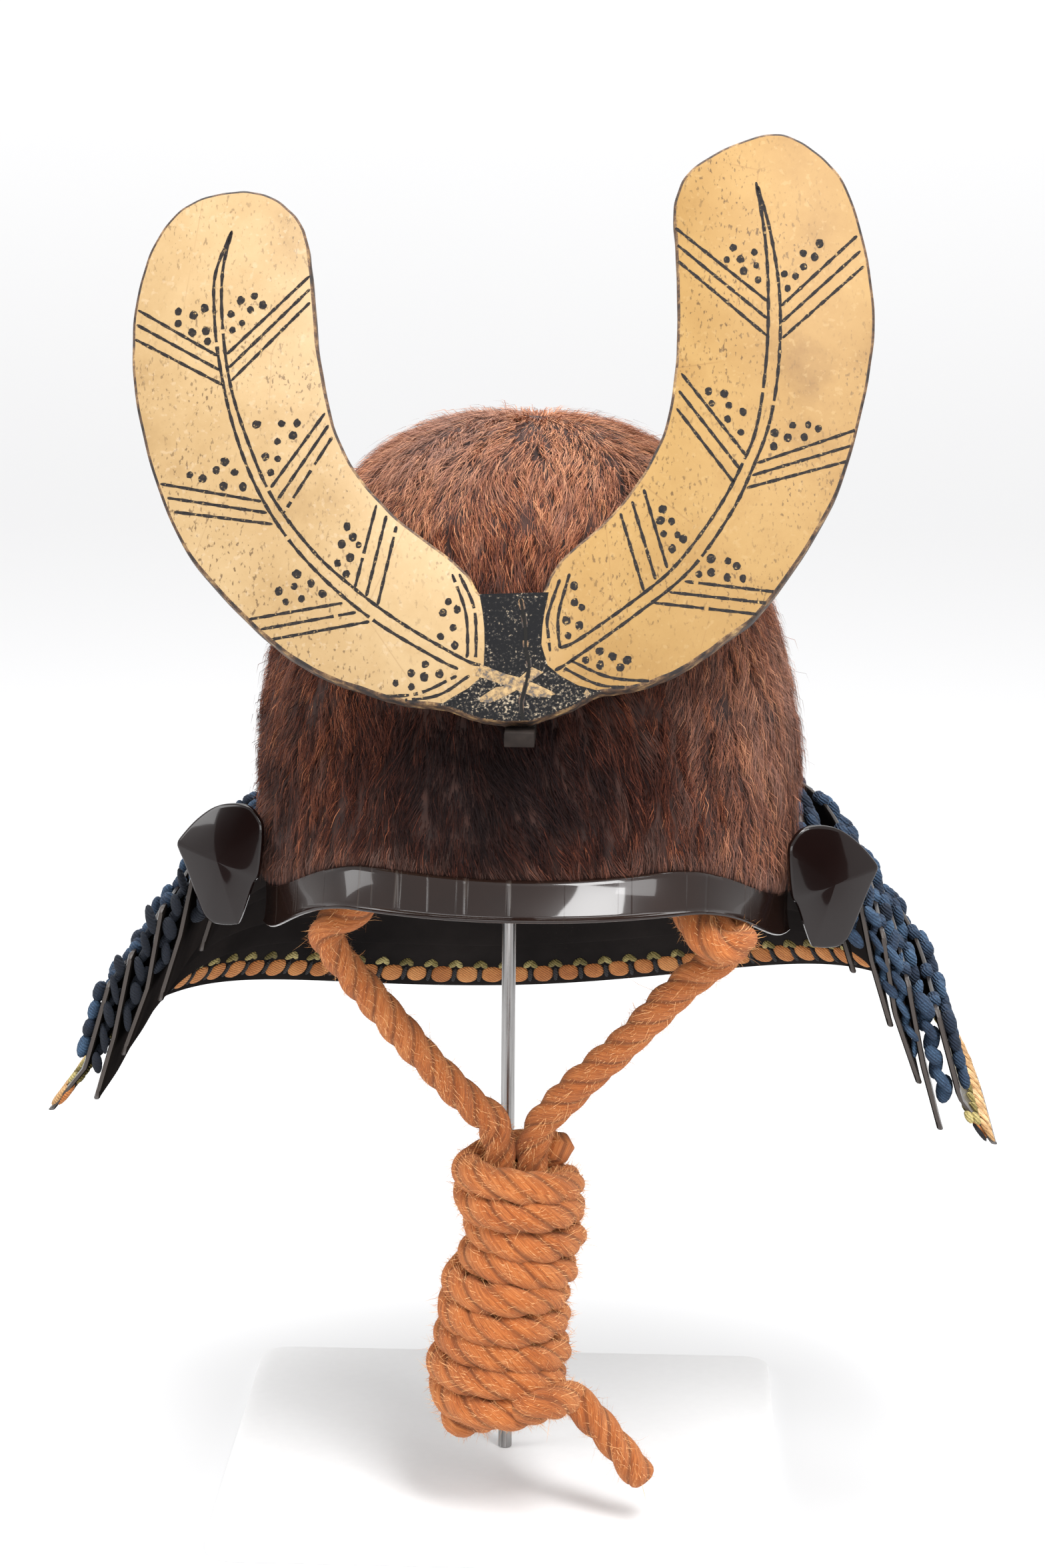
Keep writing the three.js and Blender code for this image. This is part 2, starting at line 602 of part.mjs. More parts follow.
function crestBoard() {
  const vector = (side) => ({ out, up }) => new THREE.Vector2(side * out, up);
  const right = new THREE.SplineCurve(crest_right.map(vector(1))).getPoints(crest.samples);
  const left = new THREE.SplineCurve(crest_left.map(vector(-1))).getPoints(crest.samples);
  const outline = new THREE.Shape([...right, ...left.reverse()]);
  const board = new THREE.ExtrudeGeometry(outline, {
    depth: crest.thick - 2 * crest.bevel, bevelEnabled: true, bevelThickness: crest.bevel,
    bevelSize: crest.bevel, bevelOffset: -crest.bevel, bevelSegments: 2,
  });
  board.translate(0, 0, crest.bevel - crest.thick);
  board.rotateZ(rad(crest.tilt)).rotateX(Math.PI / 2 - rad(crest.lean));
  return board.translate(crest.base_x, crest.base_y, crest.base_z);
}

function postArmTop() {
  return crest.base_z - 1.4;
}

// An arm from the bowl with a tongue that rises behind the board.
function crestPost() {
  const top = postArmTop();
  const [low, lean] = [top - post.arm_height, Math.tan(rad(crest.lean))];
  const [, bowl_y] = domePoint(0, riseAt(low, 0), GAP + 0.4);
  const back_y = crest.base_y + (crest.thick + GAP + 0.5) / Math.cos(rad(crest.lean));
  const thick = post.tongue_thick / Math.cos(rad(crest.lean));
  const up = post.tongue_up;
  const outline = new THREE.Shape([
    new THREE.Vector2(post.arm_front_y, low), new THREE.Vector2(bowl_y, low), new THREE.Vector2(bowl_y, top),
    new THREE.Vector2(back_y + thick, top), new THREE.Vector2(back_y + thick + up * lean, top + up),
    new THREE.Vector2(back_y + up * lean, top + up), new THREE.Vector2(back_y, top),
    new THREE.Vector2(post.arm_front_y, top),
  ]);
  const solid = new THREE.ExtrudeGeometry(outline, { depth: post.width, bevelEnabled: false });
  solid.translate(0, 0, -post.width / 2);
  return solid.applyMatrix4(new THREE.Matrix4().makeBasis(
    new THREE.Vector3(0, 1, 0), new THREE.Vector3(0, 0, 1), new THREE.Vector3(1, 0, 0),
  ));
}

// ---------------------------------------------------------------- chin cord

function cordRing(side) {
  const profile = Array.from({ length: 7 }, (_, step) => {
    const angle = (step / 6) * 2 * Math.PI;
    return new THREE.Vector2(ring.radius + ring.wire * Math.cos(angle), ring.wire * Math.sin(angle));
  });
  const torus = new THREE.LatheGeometry(profile, 14);
  return torus.translate(side * ring.x, ring.y, ring.z);
}

function knotRadius(z) {
  const wave = Math.abs(Math.sin((Math.PI * (knot.top_z - z)) / knot.pitch));
  return tableAt(knot_shape, 'turn_radius', 'z', z) + cord.radius * (0.62 + 0.38 * wave);
}

// The wound part of the cord as one ribbed solid whose middle wanders a little.
function chinKnot() {
  const samples = Math.round(knot.turns * knot.turn_samples);
  const [bottom, top] = [knot.top_z - knot.turns * knot.pitch, knot.top_z];
  const rings = Array.from({ length: samples + 1 }, (_, row) => {
    const z = lerp(bottom, top, row / samples);
    const [radius, x] = [knotRadius(z), tableAt(knot_shape, 'x', 'z', z)];
    return Array.from({ length: knot.round_steps }, (__, side) => {
      const angle = (side / knot.round_steps) * 2 * Math.PI;
      return [x + radius * Math.cos(angle), knot.y + radius * Math.sin(angle), z];
    });
  });
  return loft(rings);
}

// ---------------------------------------------------------------- assembly

const part = new THREE.Group();
const helmet = new THREE.Group();
helmet.position.x = HELMET_X;
part.add(helmet);

function addPiece(group, name, geometry, { color, roughness, metalness }) {
  const material = new THREE.MeshStandardMaterial({ color, roughness, metalness });
  const mesh = new THREE.Mesh(geometry, material);
  mesh.name = name;
  group.add(mesh);
}

addPiece(part, 'stand_base', standBase(), finish.white_steel);
addPiece(part, 'stand_rod', standRod(), finish.steel);
addPiece(part, 'stand_pad', standPad(), finish.steel);

addPiece(helmet, 'bowl', bowlShell(), finish.black_iron);
addPiece(helmet, 'fur_cover', furCover(), finish.fur);
addPiece(helmet, 'peak', peakBand(), finish.lacquer);

addPiece(helmet, lames[0].name, topLame(), finish.lacquer);
lames.slice(1).forEach((lame) => addPiece(helmet, lame.name, lamePlate(lame), finish.lacquer));
laceStations().forEach((station, column) => {
  addPiece(helmet, `lacing_${column + 1}`, laceColumn(station), finish.navy_lace);
});
addPiece(helmet, 'edge_lacing_outside', edgeBand(true), finish.orange_lace);
addPiece(helmet, 'edge_lacing_inside', edgeBand(false), finish.orange_lace);

addPiece(helmet, 'crest', crestBoard(), finish.gold_lacquer);
addPiece(helmet, 'crest_post', crestPost(), finish.black_iron);

addPiece(helmet, 'cord_ring_right', cordRing(-1), finish.black_iron);
addPiece(helmet, 'cord_ring_left', cordRing(1), finish.black_iron);
addPiece(helmet, 'chin_cord_right', cordTube(right_strand, 20), finish.orange_rope);
addPiece(helmet, 'chin_cord_left', cordTube(left_strand, 20), finish.orange_rope);
addPiece(helmet, 'chin_cord_end', cordTube(free_end, 14), finish.orange_rope);
addPiece(helmet, 'chin_knot', chinKnot(), finish.orange_rope);

export default part;
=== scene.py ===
# A samurai helmet on its display stand: the looks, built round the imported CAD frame.
# Blender units are metres. Tables marked mm are in millimetres and pass through MM.
import math
from functools import cached_property

import bpy
import numpy as np
from mathutils import Matrix, Vector


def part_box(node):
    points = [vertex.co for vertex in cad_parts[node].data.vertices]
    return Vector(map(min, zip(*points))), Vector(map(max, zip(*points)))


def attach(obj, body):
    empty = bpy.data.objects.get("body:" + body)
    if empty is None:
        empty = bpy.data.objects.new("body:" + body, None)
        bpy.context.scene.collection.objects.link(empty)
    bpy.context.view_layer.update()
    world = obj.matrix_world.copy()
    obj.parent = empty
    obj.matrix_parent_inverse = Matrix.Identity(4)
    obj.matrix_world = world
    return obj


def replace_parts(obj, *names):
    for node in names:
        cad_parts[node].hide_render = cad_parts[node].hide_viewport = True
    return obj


MM = 0.001
HELMET_X = 8.4  # mm: the helmet sits this far to one side of the rod

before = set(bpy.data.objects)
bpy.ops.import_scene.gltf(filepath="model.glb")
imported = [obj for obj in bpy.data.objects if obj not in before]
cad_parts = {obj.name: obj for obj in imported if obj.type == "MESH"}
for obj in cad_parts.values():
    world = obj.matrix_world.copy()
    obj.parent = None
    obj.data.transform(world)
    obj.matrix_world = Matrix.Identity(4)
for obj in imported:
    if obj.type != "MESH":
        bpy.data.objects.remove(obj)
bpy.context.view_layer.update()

# ------------------------------------------------------------------ camera

# Sensor height and lens in mm
CAMERA = dict(distance=1.370, elevation=11.0, azimuth=2.0, roll=0.5, aim=(0.0048, 0.0, 0.279),
              sensor=36.0, lens=80.36, near=0.05)


def added(name, data):
    """An object for some data, linked to the scene."""
    thing = bpy.data.objects.new(name, data)
    bpy.context.collection.objects.link(thing)
    return thing


def add_camera():
    elevation, azimuth, roll = (math.radians(CAMERA[key]) for key in ("elevation", "azimuth", "roll"))
    level = math.cos(elevation)
    away = Vector((math.sin(azimuth) * level, -math.cos(azimuth) * level, math.sin(elevation)))
    data = bpy.data.cameras.new("camera")
    data.sensor_fit = "VERTICAL"
    data.sensor_height = CAMERA["sensor"]
    data.lens = CAMERA["lens"]
    data.clip_start = CAMERA["near"]
    camera = added("camera", data)
    turn = (-away).to_track_quat("-Z", "Y").to_matrix().to_4x4()
    place = Vector(CAMERA["aim"]) + away * CAMERA["distance"]
    camera.matrix_world = Matrix.Translation(place) @ turn @ Matrix.Rotation(roll, 4, "Z")
    bpy.context.scene.camera = camera


# ------------------------------------------------------------------ small maths


def smoothstep(value, low, high):
    share = np.clip((np.asarray(value, float) - low) / (high - low), 0, 1)
    return share * share * (3 - 2 * share)


def signed_power(value, power):
    return np.sign(value) * np.abs(value) ** power


def unit(vectors):
    return vectors / np.maximum(np.linalg.norm(vectors, axis=-1, keepdims=True), 1e-12)


def circle(count):
    """Angles spread evenly round a circle."""
    return np.linspace(0, 2 * math.pi, count, endpoint=False)


def spline(points, per_span):
    """Uniform Catmull-Rom points through a route, ends included."""
    route = np.asarray(points, float)
    padded = np.vstack([2 * route[0] - route[1], route, 2 * route[-1] - route[-2]])
    share = np.linspace(0, 1, per_span, endpoint=False)[:, None]
    spans = [
        0.5 * (2 * b + (c - a) * share + (2 * a - 5 * b + 4 * c - d) * share**2
               + (3 * b - a - 3 * c + d) * share**3)
        for a, b, c, d in zip(padded, padded[1:], padded[2:], padded[3:])
    ]
    return np.vstack([*spans, route[-1:]])


def lengths_along(route):
    """How far along a route each of its points lies."""
    return np.concatenate([[0], np.cumsum(np.linalg.norm(np.diff(route, axis=0), axis=1))])


def resampled(route, step):
    """Points at even distances along a route."""
    lengths = lengths_along(route)
    count = max(3, int(round(lengths[-1] / step)) + 1)
    along = np.linspace(0, lengths[-1], count)
    return np.stack([np.interp(along, lengths, route[:, axis]) for axis in range(3)], axis=1), along


def rings_along(route, first_side, sides):
    """Unit ways round a route, from its first side on, turned as little as possible along it."""
    tangent = unit(np.gradient(route, axis=0))
    side = np.empty_like(route)
    current = np.asarray(first_side, float)
    for row, direction in enumerate(tangent):
        current = current - direction * current.dot(direction)
        current = current / np.linalg.norm(current)
        side[row] = current
    upper = np.cross(tangent, side)
    angles = circle(sides)[:, None]
    return np.cos(angles) * side[:, None] + np.sin(angles) * upper[:, None]


# ------------------------------------------------------------------ meshes and pieces


def new_piece(name, points, faces, material, smooth=True):
    """A mesh object made from points in metres, riding on the one body."""
    mesh = bpy.data.meshes.new(name)
    mesh.from_pydata([tuple(point) for point in points], [], [tuple(face) for face in faces])
    return finish_piece(name, mesh, material, smooth)


def finish_piece(name, mesh, material, smooth=True):
    mesh.polygons.foreach_set("use_smooth", [smooth] * len(mesh.polygons))
    mesh.materials.append(material)
    mesh.update()
    piece = added(name, mesh)
    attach(piece, "root")
    return piece


def blades(name, points, material, smooth=True):
    """Thin blades of five points each: four that make a quad, and one for the triangle of the tip."""
    firsts = np.arange(len(points))[:, None]
    loops = (firsts * 5 + np.array([0, 1, 2, 3, 3, 2, 4])).ravel()
    starts = (firsts * 7 + np.array([0, 4])).ravel()
    mesh = bpy.data.meshes.new(name)
    mesh.vertices.add(len(points) * 5)
    mesh.vertices.foreach_set("co", np.asarray(points, np.float32).ravel())
    mesh.loops.add(len(loops))
    mesh.loops.foreach_set("vertex_index", np.asarray(loops, np.int32))
    mesh.polygons.add(len(starts))
    mesh.polygons.foreach_set("loop_start", np.asarray(starts, np.int32))
    mesh.update(calc_edges=True)
    return finish_piece(name, mesh, material, smooth)


def grid_faces(rows, columns, close_rows=False, close_columns=False):
    """Quads over a grid of points stored row by row."""
    row = np.arange(rows if close_rows else rows - 1)
    column = np.arange(columns if close_columns else columns - 1)
    a, b = np.meshgrid(row, column, indexing="ij")
    here, below = a * columns, ((a + 1) % rows) * columns
    beside = (b + 1) % columns
    quads = np.stack([here + b, here + beside, below + beside, below + b], axis=-1)
    return quads.reshape(-1, 4).tolist()


def capped_rings(rows, columns):
    """Quads between rings of points, with a flat cap on the first and on the last ring."""
    last = (rows - 1) * columns
    caps = [list(range(columns))[::-1], list(range(last, last + columns))]
    return grid_faces(rows, columns, close_columns=True) + caps


def add_values(mesh, name, values):
    """A number for each point of a mesh, that a material can read."""
    layer = mesh.attributes.new(name, "FLOAT", "POINT")
    layer.data.foreach_set("value", np.asarray(values, np.float32))


class Parts:
    """Points and faces of many small forms that become one piece."""

    def __init__(self):
        self.points, self.faces, self.tones = [], [], []

    def add(self, points, faces, tone=0.5):
        first = len(self.points)
        self.points.extend(np.asarray(points).reshape(-1, 3).tolist())
        self.faces.extend([[corner + first for corner in face] for face in faces])
        self.tones.extend([tone] * (len(self.points) - first))

    def piece(self, name, material, slot, smooth=True):
        piece = new_piece(name, self.points, self.faces, material, smooth)
        add_values(piece.data, "tone", self.tones)
        return piece


def smooth_by_angle(mesh, angle):
    mesh.polygons.foreach_set("use_smooth", [True] * len(mesh.polygons))
    mesh.set_sharp_from_angle(angle=math.radians(angle))


def one_form(name, points, faces, material, slot, angle):
    """A piece made of a single form, smooth where its faces meet at less than an angle."""
    parts = Parts()
    parts.add(points, faces)
    piece = parts.piece(name, material, slot)
    smooth_by_angle(piece.data, angle)
    return piece


WELD = 2e-5  # points of a CAD mesh that are nearer than this become one


def refined(node, material, name, angle=35.0, bevel=None):
    """A copy of a CAD node's mesh, welded, softly bevelled and smooth where it is rounded."""
    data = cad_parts[node].data.copy()
    data.materials.clear()
    piece = finish_piece(name, data, material)
    weld = piece.modifiers.new("weld", "WELD")
    weld.merge_threshold = WELD
    if bevel:
        edge = piece.modifiers.new("bevel", "BEVEL")
        edge.width = bevel
        edge.segments = 2
        edge.angle_limit = math.radians(angle)
    with bpy.context.temp_override(object=piece, active_object=piece, selected_objects=[piece]):
        for modifier in list(piece.modifiers):
            bpy.ops.object.modifier_apply(modifier=modifier.name)
    smooth_by_angle(piece.data, angle)
    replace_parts(piece, node)


# ------------------------------------------------------------------ materials


class Look:
    """A Principled material with short ways to add nodes to it."""

    def __init__(self, name, **values):
        self.material = bpy.data.materials.new(name)
        self.material.use_nodes = True
        self.tree = self.material.node_tree
        self.shader = self.tree.nodes["Principled BSDF"]
        for socket, value in values.items():
            self.set(socket.replace("_", " "), value)

    def feed(self, socket, value):
        """Link a socket to another one, or give it a value."""
        if isinstance(value, bpy.types.NodeSocket):
            self.tree.links.new(value, socket)
        else:
            socket.default_value = (*value, 1) if socket.type == "RGBA" else value

    def set(self, socket, value):
        self.feed(self.shader.inputs[socket], value)

    def node(self, kind, **inputs):
        """A node by its kind, with values or links for its inputs."""
        node = self.tree.nodes.new(f"ShaderNode{kind}")
        for name, value in inputs.items():
            self.feed(node.inputs[name.replace("_", " ").title()], value)
        return node

    def space(self, stretch=(1, 1, 1), turn=(0, 0, 0), uv=False):
        source = self.node("TexCoord").outputs["UV" if uv else "Object"]
        return self.node("Mapping", vector=source, scale=stretch, rotation=turn).outputs["Vector"]

    @cached_property
    def plain(self):
        return self.space()

    def noise(self, scale, detail, vector=None, **inputs):
        inputs = dict(scale=scale, detail=detail, vector=vector or self.plain, **inputs)
        return self.node("TexNoise", **inputs).outputs["Fac"]

    def cell_edges(self, scale, vector):
        cells = self.node("TexVoronoi", scale=scale, vector=vector)
        cells.feature = "DISTANCE_TO_EDGE"
        return cells.outputs["Distance"]

    def axis(self, letter):
        """A place along X, Y or Z in the object's own space, in metres."""
        return self.node("SeparateXYZ", vector=self.plain).outputs[letter]

    def attribute(self, name):
        node = self.node("Attribute")
        node.attribute_name = name
        return node.outputs["Fac"]

    def ramp(self, value, *stops):
        """A colour ramp; stops are (place, colour or grey)."""
        node = self.node("ValToRGB", fac=value)
        elements = node.color_ramp.elements
        while len(elements) < len(stops):
            elements.new(0.5)
        for element, (place, colour) in zip(elements, stops):
            element.position = place
            element.color = (*colour, 1) if isinstance(colour, tuple) else (colour, colour, colour, 1)
        return node.outputs["Color"]

    def mix(self, share, first, second, blend="MIX"):
        """Two colours mixed by a share."""
        node = self.node("Mix")
        node.data_type = "RGBA"
        node.blend_type = blend
        sockets = {socket.identifier: socket for socket in node.inputs}
        for name, value in (("Factor_Float", share), ("A_Color", first), ("B_Color", second)):
            self.feed(sockets[name], value)
        return next(socket for socket in node.outputs if socket.identifier == "Result_Color")

    def maths(self, operation, first, second):
        node = self.node("Math")
        node.operation = operation
        self.feed(node.inputs[0], first)
        self.feed(node.inputs[1], second)
        return node.outputs["Value"]

    def plus(self, first, second):
        return self.maths("ADD", first, second)

    def times(self, first, second):
        return self.maths("MULTIPLY", first, second)

    def blend(self, *shares):
        """Values added up, each times its weight."""
        total = None
        for value, weight in shares:
            part = self.times(value, weight)
            total = part if total is None else self.plus(total, part)
        return total

    def bump(self, height, distance, strength):
        bump = self.node("Bump", distance=distance, strength=strength, height=height)
        self.set("Normal", bump.outputs["Normal"])


DUST = (0.24, 0.20, 0.17)


def make_lacquer(name, low, high, gloss, dust=0.35, worn=None, shine=0.15):
    """Dark lacquer between two tones, with a clear coat by its gloss, a little dust and worn ends."""
    look = Look(name, Specular_IOR_Level=shine, Coat_Weight=gloss, Coat_Roughness=0.05, Coat_IOR=1.5)
    colour = look.ramp(look.noise(22.0, 6.0), (0.3, low), (0.75, high))
    grain = look.ramp(look.noise(2600.0, 2.0), (0.66, 0.0), (0.8, 1.0))
    patch = look.ramp(look.noise(38.0, 5.0), (0.52, 0.0), (0.72, 1.0))
    share = look.times(look.times(grain, patch), dust)
    if worn:
        colour = look.mix(look.attribute("worn"), colour, worn)
    look.set("Base Color", look.mix(share, colour, DUST))
    look.set("Roughness", look.plus(look.times(share, 0.5), 0.24))
    look.bump(look.noise(60.0, 2.0), 0.0004, 0.25)
    return look


def make_peak_lacquer():
    """The same lacquer with fine upright cracks here and there."""
    look = make_lacquer("peak_lacquer", (0.008, 0.0034, 0.0024), (0.018, 0.008, 0.0055), 0.7, dust=0.5)
    line = look.ramp(look.cell_edges(70.0, look.space((1, 0.01, 0.01))), (0.0, 0.0), (0.010, 1.0))
    whole = look.shader.inputs["Base Color"].links[0].from_socket
    some = look.ramp(look.noise(30.0, 2.0), (0.45, 0.0), (0.55, 1.0))
    share = look.times(look.maths("SUBTRACT", 1.0, line), some)
    look.set("Base Color", look.mix(look.times(share, 0.3), whole, (0.09, 0.07, 0.058)))
    look.bump(line, 0.0004, 0.5)
    return look.material


def make_cloudy(name, scale, detail, *stops, bump=None, values=None, **inputs):
    """A material whose colour follows one noise, and its height too where a bump is given."""
    look = Look(name, **(values or {}))
    cloud = look.noise(scale, detail, **inputs)
    look.set("Base Color", look.ramp(cloud, *stops))
    if bump:
        look.bump(cloud, *bump)
    return look.material


def make_steel():
    look = Look("steel", Metallic=1.0)
    streaks = look.noise(1500.0, 3.0, look.space((1, 1, 0.02)))
    look.set("Base Color", look.ramp(streaks, (0.3, (0.20, 0.195, 0.19)), (0.7, (0.46, 0.45, 0.445))))
    look.set("Roughness", look.ramp(streaks, (0.2, 0.2), (0.8, 0.38)))
    return look.material


def make_thread(name, dark, middle, light, sheen):
    """Braided silk: fibre streaks, ribs with painted shade in their grooves, and a tone that differs from
    turn to turn.
    """
    look = Look(name, Roughness=0.85, Sheen_Weight=sheen, Sheen_Roughness=0.4, Sheen_Tint=light)
    share = look.blend((look.noise(5200.0, 3.0), 0.55), (look.noise(130.0, 4.0), 0.25),
                       (look.attribute("tone"), 0.2))
    colour = look.ramp(share, (0.36, dark), (0.5, middle), (0.66, light))
    slanted = look.space(turn=(0, 0.9, 0))
    ribs = look.node("TexWave", scale=300.0, distortion=3.0, detail=2.0, vector=slanted).outputs["Fac"]
    # painted shade: the colour is darkened in the grooves between the ribs
    grooves = look.ramp(ribs, (0.0, 0.45), (0.5, 1.0))
    look.set("Base Color", look.mix(0.7, colour, grooves, "MULTIPLY"))
    look.bump(ribs, 0.0005, 0.8)
    return look.material


wing_lacquer = make_lacquer("wing_lacquer", (0.0045, 0.0013, 0.0010), (0.008, 0.0025, 0.002), 0.66,
                            dust=0.12).material
plate_lacquer = make_lacquer("plate_lacquer", (0.012, 0.010, 0.009), (0.040, 0.032, 0.028), 0.06,
                             worn=(0.062, 0.052, 0.047)).material
# painted shade: a darker copy of the plate lacquer, with no shine and no lighter wear, for the plates' inner
# faces
inner_shade_lacquer = make_lacquer("inner_shade_lacquer", (0.010, 0.009, 0.009), (0.026, 0.022, 0.021), 0.0,
                             worn=(0.012, 0.010, 0.009), shine=0.0).material
black_iron = make_cloudy(
    "black_iron", 120.0, 6.0, (0.3, (0.009, 0.0075, 0.007)), (0.7, (0.029, 0.022, 0.019)),
    bump=(0.0003, 0.6), values=dict(Roughness=0.6, Specular_IOR_Level=0.08))
white_paint = make_cloudy("white_paint", 300.0, 4.0, (0.0, (0.90, 0.90, 0.90)), (1.0, (0.94, 0.94, 0.94)),
                          bump=(0.0001, 0.3), values=dict(Roughness=0.55))
steel = make_steel()
navy_silk = make_thread("navy_silk", (0.002, 0.005, 0.013), (0.010, 0.026, 0.060), (0.06, 0.125, 0.22), 0.08)
orange_silk = make_thread("orange_silk", (0.30, 0.085, 0.018), (0.55, 0.19, 0.045), (0.80, 0.38, 0.13), 0.3)
green_gold_silk = make_thread("green_gold_silk", (0.05, 0.045, 0.01), (0.25, 0.19, 0.05),
                              (0.62, 0.52, 0.22), 0.2)
tan_silk = make_thread("tan_silk", (0.26, 0.12, 0.04), (0.62, 0.36, 0.15), (0.86, 0.62, 0.36), 0.3)
dark_silk = make_thread("dark_silk", (0.006, 0.006, 0.008), (0.016, 0.015, 0.018), (0.05, 0.045, 0.05), 0.1)


# ------------------------------------------------------------------ studio

# name, place, aim, size and power
LIGHTS = [
    ("key_right", (1.1, -1.3, 1.25), (0, 0, 0.28), (0.55, 0.8), 8.0),
    ("fill_left", (-1.9, -0.5, 1.0), (0, 0, 0.25), (0.9, 1.1), 15.0),
    ("top", (0.0, 0.3, 1.9), (0, 0, 0.3), (1.6, 1.4), 36.0),
    ("strip", (0.42, -0.95, 1.50), (0.04, -0.1, 0.26), (0.46, 0.75), 20.0),
    ("low_front", (0.0, -2.2, 0.5), (0, 0, 0.05), (1.6, 0.5), 9.0),
]
# Middle and radius of each flag, and the place that they face
FLAGS = [((1.05, -1.05, 0.46), 0.46), ((-1.05, -1.05, 0.46), 0.46)]
FLAGS_FACE = (0, -0.07, 0.25)
BACKDROP = dict(front=-4.0, bend_from=3.0, bend=1.2, top=5.0, half_width=6.0, below=0.0002)
SKY = 0.76  # strength of the white light from all round
FLOOR_GLOW = (0.53, 0.74, 0.8)  # strength on the floor, strength high up, and the height of the latter


def aimed(place, aim, axis):
    """The turn that points an axis from a place to where it is aimed."""
    return (Vector(aim) - Vector(place)).to_track_quat(axis, "Y")


def add_flags():
    """Two round black flags in front, that the polished lacquer reflects as dark rounds."""
    look = Look("black_flag", Roughness=1.0, Base_Color=(0.004, 0.004, 0.004))
    for place, radius in FLAGS:
        turn = aimed(place, FLAGS_FACE, "Z").to_matrix()
        flat = [Vector((radius * math.cos(a), radius * math.sin(a), 0)) for a in circle(48)]
        mesh = bpy.data.meshes.new("flag")
        mesh.from_pydata([Vector(place) + turn @ corner for corner in flat], [], [list(range(48))])
        mesh.materials.append(look.material)
        flag = added("flag", mesh)
        flag.visible_camera = flag.visible_diffuse = flag.visible_shadow = False


def add_backdrop():
    """A white floor that curves up into a backdrop and glows, more so high up."""
    look = Look("backdrop", Roughness=0.9, Base_Color=(0.34, 0.34, 0.345), Emission_Color=(1, 1, 1))
    low, high, height = FLOOR_GLOW
    glow = look.node("MapRange", value=look.axis("Z"), from_max=height, to_min=low, to_max=high)
    look.set("Emission Strength", glow.outputs["Result"])
    start, bend = BACKDROP["bend_from"], BACKDROP["bend"]
    profile = [(BACKDROP["front"], 0.0), (start, 0.0)]
    turns = np.linspace(0.1, math.pi / 2, 14)
    profile += [(start + bend * math.sin(a), bend - bend * math.cos(a)) for a in turns]
    profile += [(start + bend, BACKDROP["top"])]
    wide = BACKDROP["half_width"]
    points = [(x, y, z - BACKDROP["below"]) for y, z in profile for x in (-wide, wide)]
    mesh = bpy.data.meshes.new("backdrop")
    mesh.from_pydata(points, [], grid_faces(len(profile), 2))
    mesh.polygons.foreach_set("use_smooth", [True] * len(mesh.polygons))
    mesh.materials.append(look.material)
    added("backdrop", mesh)


def add_lights():
    world = bpy.data.worlds.new("studio")
    bpy.context.scene.world = world
    world.use_nodes = True
    background = world.node_tree.nodes["Background"]
    background.inputs["Color"].default_value = (1, 1, 1, 1)
    background.inputs["Strength"].default_value = SKY
    bpy.context.scene.view_settings.view_transform = "Standard"
    for name, place, aim, size, power in LIGHTS:
        data = bpy.data.lights.new(name, "AREA")
        data.shape = "RECTANGLE"
        data.size, data.size_y = size
        data.energy = power
        light = added(name, data)
        light.location = place
        light.rotation_euler = aimed(place, aim, "-Z").to_euler()


# ------------------------------------------------------------------ dome (mm)

BOWL = dict(floor_z=240, height=178, half_width=101, half_length=118, plan_power=2.35, rise_power=2.4,
            side_rim_z=247, brow_rim_z=264.6, brow_dip=1.7, brow_from=27, brow_to=67)
FUR = dict(thick=4.6, above_rim=1.6, side_rim_z=280, side_from=70, side_to=80, full_side=4.5)


def bowl_rim(turn):
    away = np.abs((turn + 180) % 360 - 180)
    side = smoothstep(away, BOWL["brow_from"], BOWL["brow_to"])
    dip = BOWL["brow_dip"] * (1 - smoothstep(away, 0, BOWL["brow_from"]))
    return BOWL["brow_rim_z"] + (BOWL["side_rim_z"] - BOWL["brow_rim_z"]) * side - dip


def fur_rim(turn):
    away = np.abs((turn + 180) % 360 - 180)
    side = smoothstep(away, FUR["side_from"], FUR["side_to"])
    low = bowl_rim(turn) + FUR["above_rim"]
    return low + (FUR["side_rim_z"] - low) * side


def dome_point(turn, rise, offset):
    """A point of the dome in mm. Turn is 0 at the brow and 90 at the wearer's left; rise is 90 on top."""
    turn, rise = np.radians(turn), np.radians(rise)
    spread = np.clip(np.cos(rise), 0, 1) ** (2 / BOWL["rise_power"])
    plan = 2 / BOWL["plan_power"]
    return np.stack([
        HELMET_X + (BOWL["half_width"] + offset) * spread * signed_power(np.sin(turn), plan),
        -(BOWL["half_length"] + offset) * spread * signed_power(np.cos(turn), plan),
        BOWL["floor_z"] + (BOWL["height"] + offset) * np.clip(np.sin(rise), 0, 1) ** (2 / BOWL["rise_power"]),
    ], axis=-1)


def rise_at(z, offset):
    share = np.clip((z - BOWL["floor_z"]) / (BOWL["height"] + offset), 0, 1)
    return np.degrees(np.arcsin(share ** (BOWL["rise_power"] / 2)))


# ------------------------------------------------------------------ stand


def add_stand():
    refined("stand_base", white_paint, "base_plate", bevel=0.0012)
    refined("bowl", black_iron, "iron_bowl", angle=50)
    low, high = (np.array(corner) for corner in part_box("stand_rod"))
    centre, radius = (low + high) / 2, (high[0] - low[0]) / 2
    route = np.array([(centre[0], centre[1], z) for z in np.linspace(low[2], high[2], 3)])
    points = route[:, None] + rings_along(route, (1, 0, 0), 48) * radius
    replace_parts(one_form("polished_rod", points, capped_rings(3, 48), steel, "steel", 40), "stand_rod")
    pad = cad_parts["stand_pad"]
    pad.data.materials.clear()
    pad.data.materials.append(steel)


# ------------------------------------------------------------------ peak (mm)

PEAK = dict(half_angle=68, thick=2, bead=0.85, brow_reach=14, end_reach=4.5, brow_drop=8.8, end_drop=12.5,
            arch_lift=-0.9, top_out=6.2, top_up=4.2, under_fur=0.8, off_bowl=0.35, hollow=0.5)


